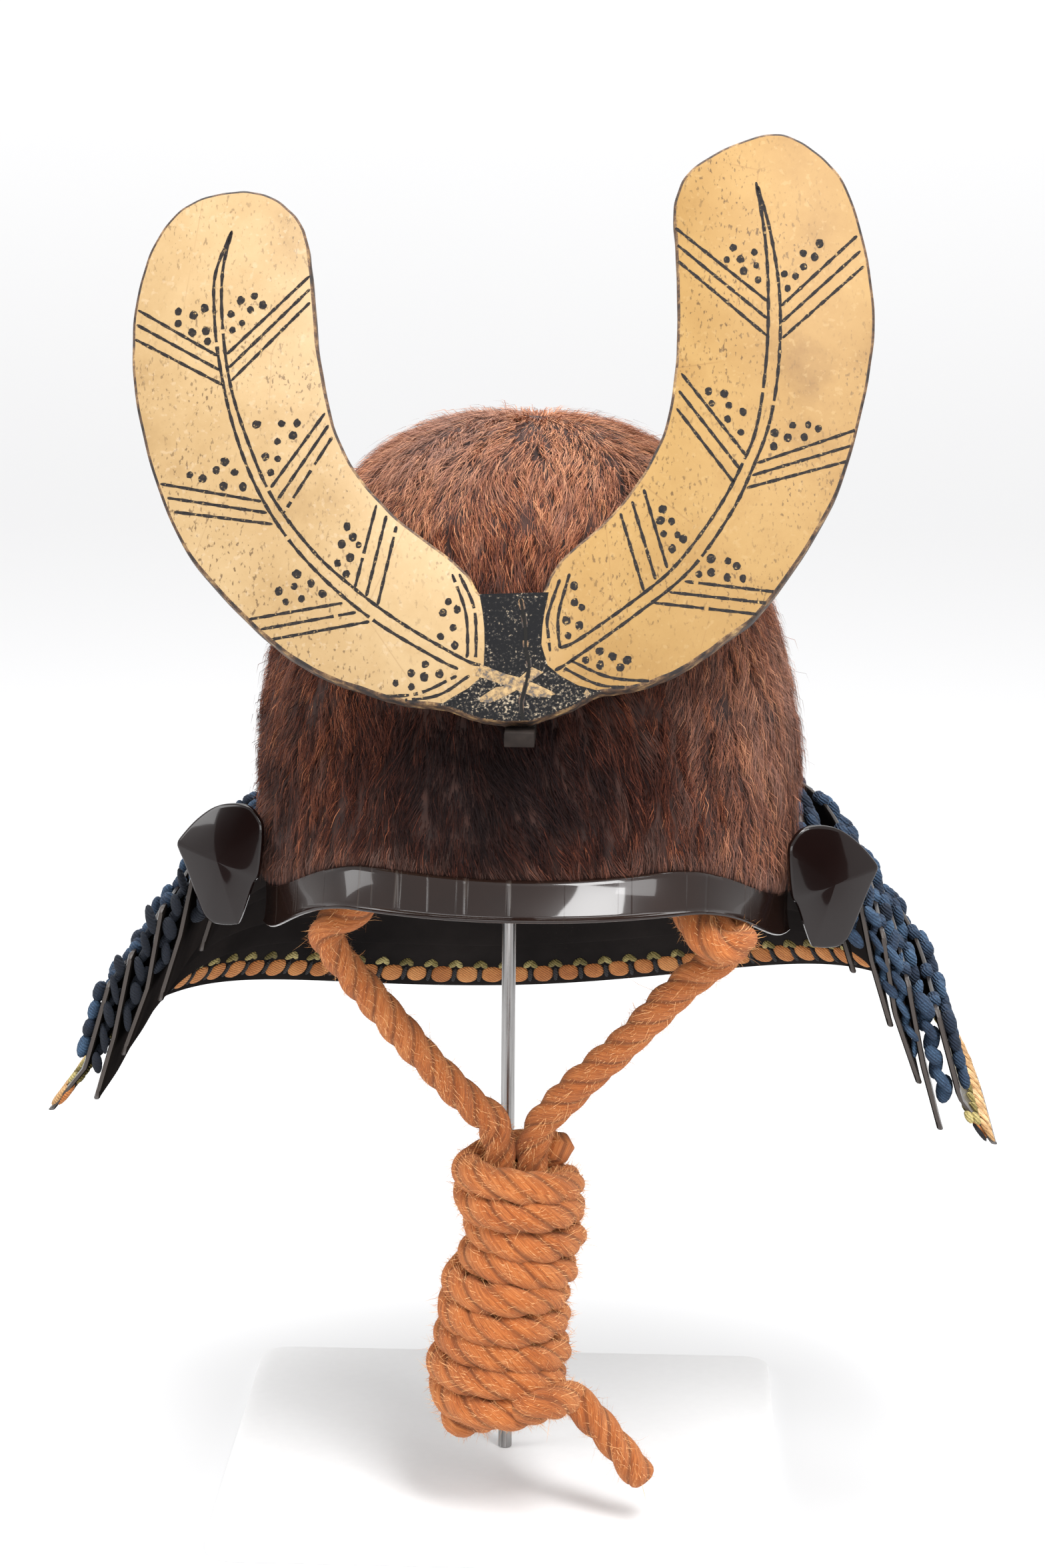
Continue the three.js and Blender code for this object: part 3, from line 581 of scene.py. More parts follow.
def add_peak():
    """The lacquered brow band: one smooth curved band with a rolled lower rim."""
    turn = np.linspace(-PEAK["half_angle"], PEAK["half_angle"], 141)
    away = np.abs(turn)
    end = smoothstep(away, BOWL["brow_from"], PEAK["half_angle"])
    top_z = bowl_rim(turn) + FUR["above_rim"] - PEAK["under_fur"]
    base = dome_point(turn, rise_at(top_z, 0), PEAK["off_bowl"])
    facing = unit(np.stack([(base[:, 0] - HELMET_X) / BOWL["half_width"] ** 2,
                            base[:, 1] / BOWL["half_length"] ** 2], axis=1))
    reach = PEAK["brow_reach"] + (PEAK["end_reach"] - PEAK["brow_reach"]) * end
    arch = PEAK["arch_lift"] * smoothstep(away, 0, BOWL["brow_from"]) * (1 - end)
    drop = PEAK["brow_drop"] + (PEAK["end_drop"] - PEAK["brow_drop"]) * end - arch
    thick, bead = PEAK["thick"], PEAK["bead"]
    top_out = PEAK["top_out"] + (PEAK["end_reach"] - 0.4 - PEAK["top_out"]) * end
    top_up = PEAK["top_up"] * (1 - 0.35 * end)
    face = np.stack([reach + 0.4 - top_out, -drop - top_up], axis=1)
    slope = unit(face)
    normal = np.stack([-slope[:, 1], slope[:, 0]], axis=1)
    # The profile, out from the bowl and up: over the top, down the face, round the bead and back inside
    profile = [(top_out * 0.2, top_up * 0.6), (top_out * 0.8, top_up * 0.98)]
    for share in np.linspace(0.02, 0.97, 9):
        hollow = -PEAK["hollow"] * math.sin(math.pi * share)
        profile.append((top_out + face[:, 0] * share + normal[:, 0] * hollow,
                        top_up + face[:, 1] * share + normal[:, 1] * hollow))
    for angle in np.radians(np.linspace(80, -160, 12)):
        along = slope * math.cos(angle) + normal * math.sin(angle)
        profile.append((reach + along[:, 0] * bead, -drop + along[:, 1] * bead))
    for share in np.linspace(0.93, 0, 7):
        profile.append(((reach - thick) * share, -drop * share - thick * 0.6 * (1 - share)))
    out = np.stack([offset + 0 * reach for offset, _ in profile], axis=1)
    down = np.stack([height + 0 * reach for _, height in profile], axis=1)
    points = np.empty((len(turn), len(profile), 3))
    points[..., :2] = base[:, None, :2] + facing[:, None] * out[..., None]
    points[..., 2] = top_z[:, None] + down
    faces = capped_rings(len(turn), len(profile))
    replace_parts(one_form("brow_peak", points * MM, faces, make_peak_lacquer(), "lacquer", 60), "peak")


# ------------------------------------------------------------------ neck guard (mm)

# Each plate's half width and height at its top edge, bend and lower edge; then how much higher it hangs
# at the back and at the shoulders, and how far to one side
LAMES = [
    dict(name="lame_1", top_w=105, top_z=271, bend_w=117, bend_z=246, edge_w=126, edge_z=218,
         rear=4, shoulder=6, aside=0),
    dict(name="lame_2", top_w=127, top_z=251, bend_w=132.5, bend_z=225.5, edge_w=141, edge_z=198.5,
         rear=8, shoulder=16, aside=-0.5),
    dict(name="lame_3", top_w=138, top_z=236, bend_w=143.8, bend_z=204.5, edge_w=154, edge_z=176.5,
         rear=10, shoulder=25, aside=-2),
    dict(name="lame_4", top_w=149, top_z=217.5, bend_w=156, bend_z=184.5, edge_w=163.6, edge_z=158.5,
         rear=12.5, shoulder=33, aside=-3),
    dict(name="lame_5", top_w=159, top_z=206, bend_w=169, bend_z=171.5, edge_w=183, edge_z=153.5,
         rear=-5, shoulder=37, aside=-1.4),
]
# Arc is the share of a plate's half-length that is arc; the rest is its straight side
GUARD = dict(thick=2, centre_y=-8, front_y=-50, plan_power=2.35, rear_gap=4, rear_ratio=0.92, arc=0.84,
             skew=3.2e-4, skew_y=10)
# Lengths in mm; the corners are shares of a plate's height, and the swell is one of its thickness
BLADE = dict(half_length=300.0, corner=4.0, low_corner=0.14, top_corner=0.06, edge=0.9, swell=0.28,
             swell_over=(2.0, 7.0), worn_over=(4.0, 16.0))
BLADE_SHARES = (0.03, 0.25, 0.5, 0.75, 0.94, 1.06, 1.3, 1.6, 1.85, 1.97)
INNER_FACE = (12, 22)  # the first and the last quad of a plate's ring that lie on its inner face


def lame_point(lame, place, share, inset=0.0):
    """Points on a plate. Place runs from -1 at one front end round the back to 1 at the other, and
    share is 0 at its top edge, 1 at its bend and 2 at its lower edge."""
    low = np.clip(share, 0, 1)
    more = np.clip(share - 1, 0, 1)
    half_width, z = (
        lame[f"top_{way}"] + (lame[f"bend_{way}"] - lame[f"top_{way}"]) * low
        + (lame[f"edge_{way}"] - lame[f"bend_{way}"]) * more for way in "wz")
    away = np.abs(place)
    arc = np.radians(np.clip(away / GUARD["arc"], 0, 1) * 90)
    forward = np.clip((away - GUARD["arc"]) / (1 - GUARD["arc"]), 0, 1.5)
    width = half_width - inset
    depth = BOWL["half_length"] + GUARD["rear_gap"] + (half_width - BOWL["half_width"]) * GUARD["rear_ratio"]
    depth = depth - inset - GUARD["centre_y"]
    power = 2 / GUARD["plan_power"]
    x = np.sign(place) * width * np.sin(arc) ** power
    y = GUARD["centre_y"] + depth * np.clip(np.cos(arc), 0, 1) ** power
    y = np.where(forward > 0, GUARD["centre_y"] + (GUARD["front_y"] - GUARD["centre_y"]) * forward, y)
    back = smoothstep((y - GUARD["centre_y"]) / depth, 0, 1)
    lift = (lame["rear"] + lame["shoulder"] * (x / width) ** 2) * back
    skewed = GUARD["skew"] * x * (y - GUARD["skew_y"])
    return np.stack([x + lame["aside"] + HELMET_X, y, z + lift + skewed], axis=-1)


def plate_grid(lame, ends=1.0):
    """A plate as rings of points, with rounded edges and rounded lower front corners."""
    inner = np.linspace(-1, 1, 161)
    place = np.sign(inner) * ends * np.abs(inner) ** 0.9
    to_end = (1 - np.abs(inner)) * BLADE["half_length"]
    corner = np.clip(1 - to_end / BLADE["corner"], 0, 1)
    cut = 1 - np.sqrt(1 - corner**2)
    lowest = 2 - BLADE["low_corner"] * cut
    highest = BLADE["top_corner"] * cut
    swell = 1 + BLADE["swell"] * (1 - smoothstep(to_end, *BLADE["swell_over"]))
    thin = swell * (0.55 + 0.45 * np.sqrt(1 - np.clip(1 - to_end / BLADE["edge"], 0, 1) ** 2))
    # The ring: down the outer face, round the lower edge, up the inner face and over the top edge
    profile = [(share, 0.0) for share in BLADE_SHARES] + [(1.995, 0.35), (2.0, 1.0), (1.995, 1.65)]
    profile += [(share, 2.0) for share in BLADE_SHARES[::-1]] + [(0.005, 1.65), (0.0, 1.0), (0.005, 0.35)]
    rings = []
    for share, inset in profile:
        at = highest + (lowest - highest) * share / 2
        depth = GUARD["thick"] / 2 + (inset - GUARD["thick"] / 2) * thin
        rings.append(lame_point(lame, place, at, depth))
    worn = 1 - smoothstep(to_end, *BLADE["worn_over"])
    return np.stack(rings, axis=1), np.repeat(worn, len(profile))


def add_plate(lame, ends=1.0):
    points, worn = plate_grid(lame, ends)
    rows, columns, _ = points.shape
    name = f"plate_{lame['name'][-1]}"
    plate = one_form(name, points * MM, capped_rings(rows, columns), plate_lacquer, "lacquer", 50)
    add_values(plate.data, "worn", worn)
    # the inner faces take the darker copy that paints their shade
    plate.data.materials.append(inner_shade_lacquer)
    for row, face in enumerate(plate.data.polygons[:(rows - 1) * columns]):
        face.material_index = int(INNER_FACE[0] <= row % columns <= INNER_FACE[1])
    return plate


WING = dict(thick=1.8, fold_x=98, fold_y=-69, outward_angle=25, base_z=233, bulge=2.0, lean_back=0.07)
# mm out from the wing's fold, and height above its lowest edge
WING_OUTLINE = [
    (0, 37), (1.5, 42), (6, 46), (13, 46.5), (21, 44.5), (29, 39), (35.8, 32), (37.6, 29), (36.8, 26.4),
    (34, 21), (27, 5.5), (24, 1.6), (20, 0.2), (12.5, 0.8), (9.8, 3), (4.5, 16.5), (1.5, 22),
]


def add_wing(side):
    """A turned-back end of the top plate: a slightly domed lacquered shield."""
    outline = np.array(WING_OUTLINE + WING_OUTLINE[:1], float)
    closed = np.vstack([outline[-2], outline, outline[1]])
    smooth = spline(closed, 7)[7:-7]
    centre = outline[:-1].mean(axis=0)
    shares = [0.0, 0.25, 0.5, 0.7, 0.85, 0.94, 0.985, 1.0]
    rounds = [WING["bulge"] * (1 - share**2) for share in shares[:-2]] + [0.05, -0.35]
    rings = [(share, height + WING["thick"] / 2) for share, height in zip(shares, rounds)]
    rings += [(1.0, 0.2 - WING["thick"] / 2)]
    rings += [(share, height - WING["thick"] / 2) for share, height in list(zip(shares, rounds))[-2::-1]]
    grid = []
    for share, height in rings:
        flat = centre + (smooth - centre) * share
        grid.append(np.stack([flat[:, 0], np.full(len(flat), -height), flat[:, 1]], axis=1))
    points = np.array(grid)
    angle = math.radians(WING["outward_angle"])
    x = points[..., 0] * math.cos(angle) - points[..., 1] * math.sin(angle) + WING["fold_x"]
    y = points[..., 0] * math.sin(angle) + points[..., 1] * math.cos(angle) + WING["fold_y"]
    skewed = GUARD["skew"] * side * WING["fold_x"] * (WING["fold_y"] - GUARD["skew_y"])
    y = y + (points[..., 2] - centre[1]) * WING["lean_back"]
    points = np.stack([side * x + HELMET_X, y, points[..., 2] + WING["base_z"] + skewed], axis=-1)
    faces = grid_faces(len(rings), points.shape[1])
    if side > 0:
        faces = [face[::-1] for face in faces]
    name = "wing_left" if side > 0 else "wing_right"
    return one_form(name, points * MM, faces, wing_lacquer, "lacquer", 60)


def add_guard():
    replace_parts(add_plate(LAMES[0], ends=0.985), "lame_1")
    for side in (-1, 1):
        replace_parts(add_wing(side), "lame_1")
    for lame in LAMES[1:]:
        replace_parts(add_plate(lame), lame["name"])


# ------------------------------------------------------------------ crest (mm across and up its face)

CREST = dict(foot=(HELMET_X - 1.2, -138.0, 326.0), lean=22.0, tilt=2.4, line=1.1, shaft=1.15, dot=1.5)
# mm in front of the face, in the order that the layers lie on each other
LIFT = dict(panel=0.035, line=0.06, quill=0.07, next_quill=0.03, rim=0.12, crack=0.16)
# Half outlines of the board from the notch round to the foot: distance out from the middle, height up it
CREST_LEFT = [
    (12, 48.6), (19, 59), (44, 80.5), (60, 104), (67.5, 136), (70.5, 172), (74, 188), (85, 198.8), (100, 201),
    (117, 195.2), (129, 178), (135, 149), (132, 113), (118, 71), (93, 40), (72, 23), (51, 14), (38, 10),
    (25, 8.2), (14, 4), (4, 2),
]
CREST_RIGHT = [
    (10.5, 48.6), (17, 60), (38, 79), (54, 104.5), (60, 135), (61, 170), (61, 192), (70, 206.4), (95, 216.8),
    (111, 210.8), (124, 193), (131, 155), (128, 123), (114.5, 80), (90, 43), (74, 29.5), (58, 19), (43, 13.5),
    (29, 11.5), (20, 7), (5, 2),
]
# How far in from the outline, and how deep behind the front face, the rings of the rounded edge lie
CREST_EDGE = [(1.0, 0.0), (0.35, 0.25), (0.0, 0.9), (0.0, 8.1), (0.35, 8.75), (1.0, 9.0)]
# The two lines of each feather's shaft, from its tip to the foot of the board
SHAFTS = [
    [(-99, 186), (-105, 170), (-105.5, 155), (-104, 138), (-99.5, 115), (-92, 92.5), (-81, 72.5),
     (-66.5, 55), (-49, 39.5), (-27.5, 25.5), (-20, 21.5)],
    [(-99, 186), (-102.5, 170), (-102.5, 149.5), (-99.5, 126.5), (-92.5, 103.5), (-84.5, 85),
     (-70.5, 65.5), (-56, 51.5), (-39.5, 38.5), (-18, 25), (-11.5, 22.5)],
    [(90.5, 198.5), (93, 178), (93.5, 156.5), (92, 132), (88, 108), (82.5, 94), (73, 77), (59, 58.5),
     (46.5, 47.5), (23.5, 31.5), (16, 28)],
    [(91, 197), (95, 179.5), (97.5, 156.5), (96.5, 131.5), (92.5, 109), (85.5, 91), (77, 74.5),
     (62, 54.5), (41, 38), (20, 23.5), (14, 20)],
]
# Three barb lines each: the first and the last one, from the board's edge to the shaft
BARBS = [
    [(-133, 157), (-104.5, 139), (-134, 146), (-102.5, 128)],
    [(-71, 168), (-101, 139.5), (-71, 158), (-99.5, 129.5)],
    [(-125, 92), (-89, 84.5), (-120, 81.5), (-85, 76)],
    [(-66, 116.5), (-85.5, 89.5), (-63.5, 107.5), (-81, 80)],
    [(-93.5, 41.5), (-60.5, 46.5), (-85.5, 34), (-51, 39.5)],
    [(-48, 82), (-56, 52), (-41, 74), (-48, 45.5)],
    [(61, 182), (93, 153.5), (61, 170), (92.5, 140.5)],
    [(126, 177), (98, 151.5), (128, 165.5), (98, 139.5)],
    [(61.5, 127.5), (83.5, 96.5), (59.5, 114.5), (79, 86.5)],
    [(124, 105), (87.5, 93.5), (120.5, 93.5), (83.5, 84.5)],
    [(47, 85), (54.5, 56), (38.5, 76.5), (46, 48)],
    [(94, 46), (60.5, 51), (88.5, 38), (49.5, 43.5)],
]
# The curved lines at the feathers' feet
FOOT_LINES = [
    [(-19, 56), (-14, 43.5), (-13.5, 29.5), (-14, 24)], [(-21.5, 56), (-17, 42), (-16.5, 28.5), (-17, 25.5)],
    [(-20.5, 19), (-34.5, 13), (-50, 12.5)], [(-16, 19), (-28, 12), (-46, 10.5)],
    [(20, 55), (16, 41.5), (15.5, 34.5), (16, 28)], [(16.5, 53), (12, 40), (12, 33), (12.5, 27)],
    [(16, 21.5), (29.5, 14.5), (44, 13)], [(19.5, 23.5), (33.5, 17), (51, 15)],
]
DOTS = [
    [(-118.5, 156), (-113, 154.5), (-109, 157), (-118.5, 151.5), (-113.5, 148), (-108.5, 148.5),
     (-108, 144.5)],
    [(-96, 159.5), (-91, 161), (-99.5, 154.5), (-92.5, 156), (-88, 157.5), (-95.5, 151), (-99, 148.5)],
    [(-114.5, 95), (-110, 93.5), (-105, 96.5), (-102, 99.5), (-98.5, 95.5), (-102.5, 90.5), (-95.5, 90)],
    [(-90.5, 113), (-81.5, 113), (-76, 113), (-77.5, 108.5), (-83, 106.5), (-87.5, 101), (-83, 100),
     (-85.5, 95)],
    [(-76.5, 57.5), (-71.5, 54), (-77.5, 53), (-83, 51.5), (-80.5, 47.5), (-75, 48.5), (-67.5, 50)],
    [(-58.5, 74.5), (-56.5, 70.5), (-60.5, 68), (-54.5, 67.5), (-62, 61), (-57.5, 63), (-59, 57)],
    [(81.5, 174), (79, 169.5), (84, 169.5), (89, 172), (89.5, 167), (85, 165), (90, 161.5)],
    [(112.5, 174.5), (106.5, 171), (110.5, 169.5), (106.5, 166), (99.5, 163.5), (103.5, 162.5), (100.5, 158)],
    [(71, 120.5), (76.5, 119.5), (72, 116), (78, 115), (83, 112.5), (77.5, 110), (82, 105)],
    [(100.5, 107), (106, 107), (109.5, 105.5), (104.5, 102.5), (98.5, 102.5), (94, 104.5), (93.5, 99.5)],
    [(53.5, 77.5), (52.5, 73.5), (56.5, 73), (53.5, 68.5), (58.5, 68), (56.5, 63), (60.5, 66.5)],
    [(70, 59), (76, 58), (79, 56), (70, 54), (65.5, 53.5), (75.5, 52), (81, 51.5)],
    [(-23, 46), (-25, 42), (-20, 43), (-21.5, 36.5), (-26, 33.5), (-21, 30)],
    [(-31.5, 23.5), (-36.5, 20.5), (-26.5, 20), (-32, 19), (-42, 17), (-36.5, 15.5)],
    [(21.5, 50.5), (21.5, 44.5), (24, 42.5), (18.5, 38), (23, 36), (19, 32.5)],
    [(25, 23.5), (30, 26.5), (34.5, 24.5), (30, 21.5), (37, 20.5), (39.5, 23)],
]
# height, left side, right side of the black panel
PANEL = [(48.4, -12, 12.5), (42, -11, 11), (36, -10.5, 10), (29.5, -10.5, 9.5), (22, -11, 11.5),
         (18, -12.5, 16), (14.5, -16.5, 22), (11.5, -22, 32), (9, -26, 40), (2, -30, 44), (-3, -30, 44)]
QUILLS = [
    [(6, 21.5), (0.5, 17), (-3, 15), (-7, 14.5), (-12.5, 11), (-12.5, 9.5), (-9, 9), (-3, 11.5),
     (2.5, 14.5), (10, 19.5)],
    [(-12, 23), (-4, 19.5), (1, 18), (7, 15.5), (13, 12.5), (14, 11.5), (10.5, 10.5), (6, 11), (0, 13.5),
     (-6, 16), (-14, 19)],
    [(25, 13.3), (26.2, 11.4), (24.9, 9.8), (24, 11.4)],
]
CRACK = [(2.5, 46.3), (3.5, 39.5), (4, 34.5), (4, 28), (5, 22), (4, 16.5), (3, 12.5), (2, 8.5), (2.5, 1)]


class Board:
    """The front of the crest: it lays places given in mm across and up on its face."""

    def __init__(self):
        lean, tilt = (math.radians(CREST[key]) for key in ("lean", "tilt"))
        level, rising = np.array((1, 0, 0)), np.array((0, math.sin(lean), math.cos(lean)))
        self.across = level * math.cos(tilt) + rising * math.sin(tilt)
        self.up = rising * math.cos(tilt) - level * math.sin(tilt)
        self.out = np.array((0, -math.cos(lean), math.sin(lean)))
        right = spline([(out, up, 0) for out, up in CREST_RIGHT], 12)[:, :2]
        left = spline([(-out, up, 0) for out, up in CREST_LEFT], 12)[::-1, :2]
        self.outline = np.vstack([right, left])

    def at(self, places, lift):
        """Points in metres, lifted by mm in front of the face."""
        places = np.asarray(places, float)
        flat = places[..., :1] * self.across + places[..., 1:2] * self.up + self.out * lift
        return (np.array(CREST["foot"]) + flat) * MM

    def holds(self, places):
        """Whether each place lies within the outline."""
        x, y = np.asarray(places, float)[:, 0, None], np.asarray(places, float)[:, 1, None]
        ax, ay = self.outline[None, :, 0], self.outline[None, :, 1]
        bx, by = np.roll(ax, -1, axis=1), np.roll(ay, -1, axis=1)
        crosses = ((ay > y) != (by > y)) & (x < (bx - ax) * (y - ay) / np.where(by == ay, 1e-9, by - ay) + ax)
        return crosses.sum(axis=1) % 2 == 1

    def lay(self, places, lift):
        return self.at(places, lift), self.holds(places)

    def piece(self, material, side_material):
        """The board itself, with a finely rounded edge."""
        tangent = unit(np.roll(self.outline, -1, axis=0) - np.roll(self.outline, 1, axis=0))
        inward = np.stack([tangent[:, 1], -tangent[:, 0]], axis=1)
        count = len(self.outline)
        wear = 0.12 * np.sin(np.arange(count) * 0.9) * np.sin(np.arange(count) * 0.23)
        wear = wear[:, None]
        rings = [self.at(self.outline + inward * (inset + wear), -depth) for inset, depth in CREST_EDGE]
        faces = capped_rings(len(rings), count)
        board = new_piece("crest_board", np.vstack(rings), faces, material)
        board.data.materials.append(side_material)
        for face in board.data.polygons[:-2]:
            face.material_index = 1
        smooth_by_angle(board.data, 50)
        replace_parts(board, "crest")


def line_on(parts, board, route, rng, width=CREST["line"], lift=LIFT["line"], worn=0.007,
            straight=False):
    """A painted line: a flat strip along a route, a little uneven, with worn gaps."""
    flat = np.array([(x, y, 0.0) for x, y in route])
    line, along = resampled(flat if straight else spline(flat, 10), 0.8)
    side = np.cross(unit(np.gradient(line, axis=0)), (0, 0, 1))
    half = width / 2 * (1 + 0.16 * np.sin(along * 0.9 + rng.uniform(0, 6)) + rng.normal(0, 0.07, len(line)))
    half[[0, -1]] *= 0.5
    left, left_held = board.lay((line + side * half[:, None])[:, :2], lift)
    right, right_held = board.lay((line - side * half[:, None])[:, :2], lift)
    keep = left_held & right_held & (rng.uniform(size=len(line)) > worn)
    faces = [[2 * row, 2 * row + 1, 2 * row + 3, 2 * row + 2]
             for row in range(len(line) - 1) if keep[row] and keep[row + 1]]
    parts.add(np.stack([left, right], axis=1), faces)


def patch_on(parts, board, outline, lift):
    points, held = board.lay(outline, lift)
    if held.all():
        parts.add(points, [list(range(len(points)))])


def dot_on(parts, board, place, rng):
    radius = CREST["dot"] * rng.uniform(0.85, 1.15) * (1 + rng.normal(0, 0.07, 14))
    stretch = rng.uniform(0.8, 1.0)
    across, up = place
    outline = [(across + r * math.cos(a) * stretch, up + r * math.sin(a)) for a, r in zip(circle(14), radius)]
    patch_on(parts, board, outline, LIFT["line"])


def add_black_panel(board, rows=125, columns=110):
    """The panel as a fine grid, cut where it meets the board's outline."""
    table = np.array(PANEL)
    heights = np.linspace(table[0, 0], table[-1, 0], rows)
    left = np.interp(-heights, -table[:, 0], table[:, 1])
    right = np.interp(-heights, -table[:, 0], table[:, 2])
    x = left[:, None] + (right - left)[:, None] * np.linspace(0, 1, columns)
    y = np.broadcast_to(heights[:, None], x.shape)
    points, held = board.lay(np.stack([x.ravel(), y.ravel()], axis=1), LIFT["panel"])
    faces = [face for face in grid_faces(rows, columns) if held[face].all()]
    used = np.unique(faces)
    fresh = np.zeros(len(points), int)
    fresh[used] = np.arange(len(used))
    faces = fresh[np.array(faces)]
    new_piece("crest_black_panel", points[used], faces, make_speckled_black())


def make_gold():
    """Old gold lacquer: cloudy, with fine dark flecks, a few scratches, and painted shade that makes one side
    deeper.
    """
    look = Look("gold_lacquer", Roughness=0.5, Specular_IOR_Level=0.4)
    cloud = look.noise(16.0, 7.0, roughness=0.65)
    colour = look.ramp(cloud, (0.30, (0.36, 0.215, 0.085)), (0.44, (0.50, 0.325, 0.15)),
                       (0.60, (0.57, 0.39, 0.20)), (0.76, (0.46, 0.285, 0.12)))
    fleck = look.noise(900.0, 4.0, look.space((1.0, 1.0, 0.35), (0, 0.7, 0)))
    area = look.ramp(look.noise(30.0, 4.0), (0.36, 0.15), (0.62, 1.0))
    flecks = look.times(look.ramp(fleck, (0.59, 0.0), (0.66, 1.0)), area)
    colour = look.mix(flecks, colour, (0.20, 0.12, 0.055))
    rubbed = look.ramp(look.noise(420.0, 3.0), (0.60, 0.0), (0.68, 1.0))
    colour = look.mix(look.times(rubbed, 0.35), colour, (0.66, 0.50, 0.34))
    scratch = look.cell_edges(26.0, look.space((1, 1, 0.5), (0, -0.6, 0)))
    thin = look.ramp(scratch, (0.0, 1.0), (0.006, 0.0))
    some = look.ramp(cloud, (0.5, 0.0), (0.56, 1.0))
    colour = look.mix(look.times(look.times(thin, some), 0.4), colour, (0.30, 0.16, 0.07))
    # painted shade: towards higher X the gold is made darker and more orange
    side = look.plus(look.times(look.axis("X"), 8.0), 0.5)
    side_shade = look.ramp(side, (0.35, (0.76, 0.765, 0.74)), (0.75, (0.63, 0.55, 0.34)))
    look.set("Base Color", look.mix(1.0, colour, side_shade, "MULTIPLY"))
    look.bump(fleck, 0.0001, 0.25)
    return look.material


SPECKLED = (0.360, 0.334)  # metres: the gold dust grows denser from the first height to the second


def make_speckled_black():
    """Black lacquer sprinkled with gold dust, more of it low down."""
    look = Look("speckled_black", Roughness=0.5, Specular_IOR_Level=0.12)
    top, foot = SPECKLED
    low = look.node("MapRange", value=look.axis("Z"), from_min=top, from_max=foot).outputs["Result"]
    lift = look.blend((look.noise(90.0, 4.0), 0.28), (low, 0.06))
    share = look.plus(look.noise(950.0, 5.0, roughness=0.65), lift)
    look.set("Base Color", look.ramp(share, (0.68, (0.006, 0.006, 0.007)), (0.76, (0.03, 0.028, 0.027)),
                                     (0.81, (0.24, 0.19, 0.13)), (0.89, (0.40, 0.33, 0.24))))
    return look.material


def add_crest():
    board = Board()
    # The sides of the board: dark lacquer worn to brown wood, with traces of gold
    wood = make_cloudy(
        "worn_wood", 150.0, 7.0, (0.42, (0.018, 0.012, 0.01)), (0.52, (0.09, 0.045, 0.022)),
        (0.60, (0.24, 0.14, 0.06)), (0.70, (0.50, 0.33, 0.13)),
        bump=(0.0006, 0.7), values=dict(Roughness=0.65), roughness=0.7)
    board.piece(make_gold(), wood)
    rng = np.random.default_rng(5)
    lines = Parts()
    for route in SHAFTS:
        line_on(lines, board, route, rng, width=CREST["shaft"])
    for first, first_end, last, last_end in np.array(BARBS, float):
        for share in (0, 0.5, 1):
            start, end = first + (last - first) * share, first_end + (last_end - first_end) * share
            line_on(lines, board, [start, end], rng, straight=True)
    for route in FOOT_LINES:
        line_on(lines, board, route, rng, worn=0.04)
    for cluster in DOTS:
        for place in cluster:
            dot_on(lines, board, place, rng)
    # Dark paint, worn through to gold here and there
    ink = make_cloudy("ink", 900.0, 3.0, (0.36, (0.012, 0.011, 0.012)), (0.62, (0.028, 0.022, 0.019)),
                      (0.74, (0.40, 0.27, 0.12)), values=dict(Roughness=0.6, Specular_IOR_Level=0.12))
    lines.piece("crest_feather_lines", ink, "gold_lacquer", smooth=False)
    add_black_panel(board)
    quills = Parts()
    for row, outline in enumerate(QUILLS):
        patch_on(quills, board, outline, LIFT["quill"] + LIFT["next_quill"] * row)
    quill_gold = make_cloudy(
        "quill_gold", 500.0, 5.0, (0.40, (0.07, 0.055, 0.045)), (0.50, (0.26, 0.165, 0.07)),
        (0.64, (0.42, 0.28, 0.12)), values=dict(Roughness=0.5), roughness=0.7)
    quills.piece("crest_quills", quill_gold, "gold_lacquer", smooth=False)
    # painted shade: a near-black strip stands in for the shade inside the crack
    dark = Look("crack_shade", Roughness=1.0, Base_Color=(0.006, 0.005, 0.004)).material
    for name, material, width, layer, worn in (("crest_crack", dark, 1.15, "crack", 0.0),
                                               ("crest_crack_rim", wood, 1.75, "rim", 0.2)):
        crack = Parts()
        line_on(crack, board, CRACK, rng, width, LIFT[layer], worn)
        crack.piece(name, material, "gold_lacquer", smooth=False)
    refined("crest_post", black_iron, "crest_holder", bevel=0.0004)


# ------------------------------------------------------------------ fur

HAIR = dict(pieces=3, strands=52000, width=0.00013, shortest=0.007, longest=0.015, clump=0.0045,
            above_peak=2.2, root_depth=-1.6, seed=21)
CLUMPS = 4096  # how many different clumps there are
# Metres: the dome's mean radius, its length from rim to crown, and twice the radius of its curve down
DOME = dict(around=0.105, over=0.19, curve=0.22)


def fur_skin(turn, share, lift):
    """Points in metres on the fur's outer form: share is 0 at the rim and 1 at the crown."""
    rim = rise_at(fur_rim(turn), FUR["thick"])
    full = np.maximum(0, -np.sin(np.radians(turn))) * np.sin(share * math.pi)
    offset = FUR["thick"] + FUR["full_side"] * full + lift
    return dome_point(turn, rim + (90 - rim) * share, offset) * MM


def fur_roots(count, rng):
    """Places spread evenly over the fur, by area."""
    turn, share = np.meshgrid(np.arange(0.0, 361.0, 2.0), np.linspace(0, 1, 61), indexing="ij")
    grid = fur_skin(turn, share, 0.0)
    area = np.linalg.norm(np.cross(grid[1:, :-1] - grid[:-1, :-1], grid[:-1, 1:] - grid[:-1, :-1]), axis=-1)
    picked = rng.choice(area.size, count, p=area.ravel() / area.sum())
    row, column = np.unravel_index(picked, area.shape)
    return (row + rng.uniform(size=count)) * 2.0, (column + rng.uniform(size=count)) / 60


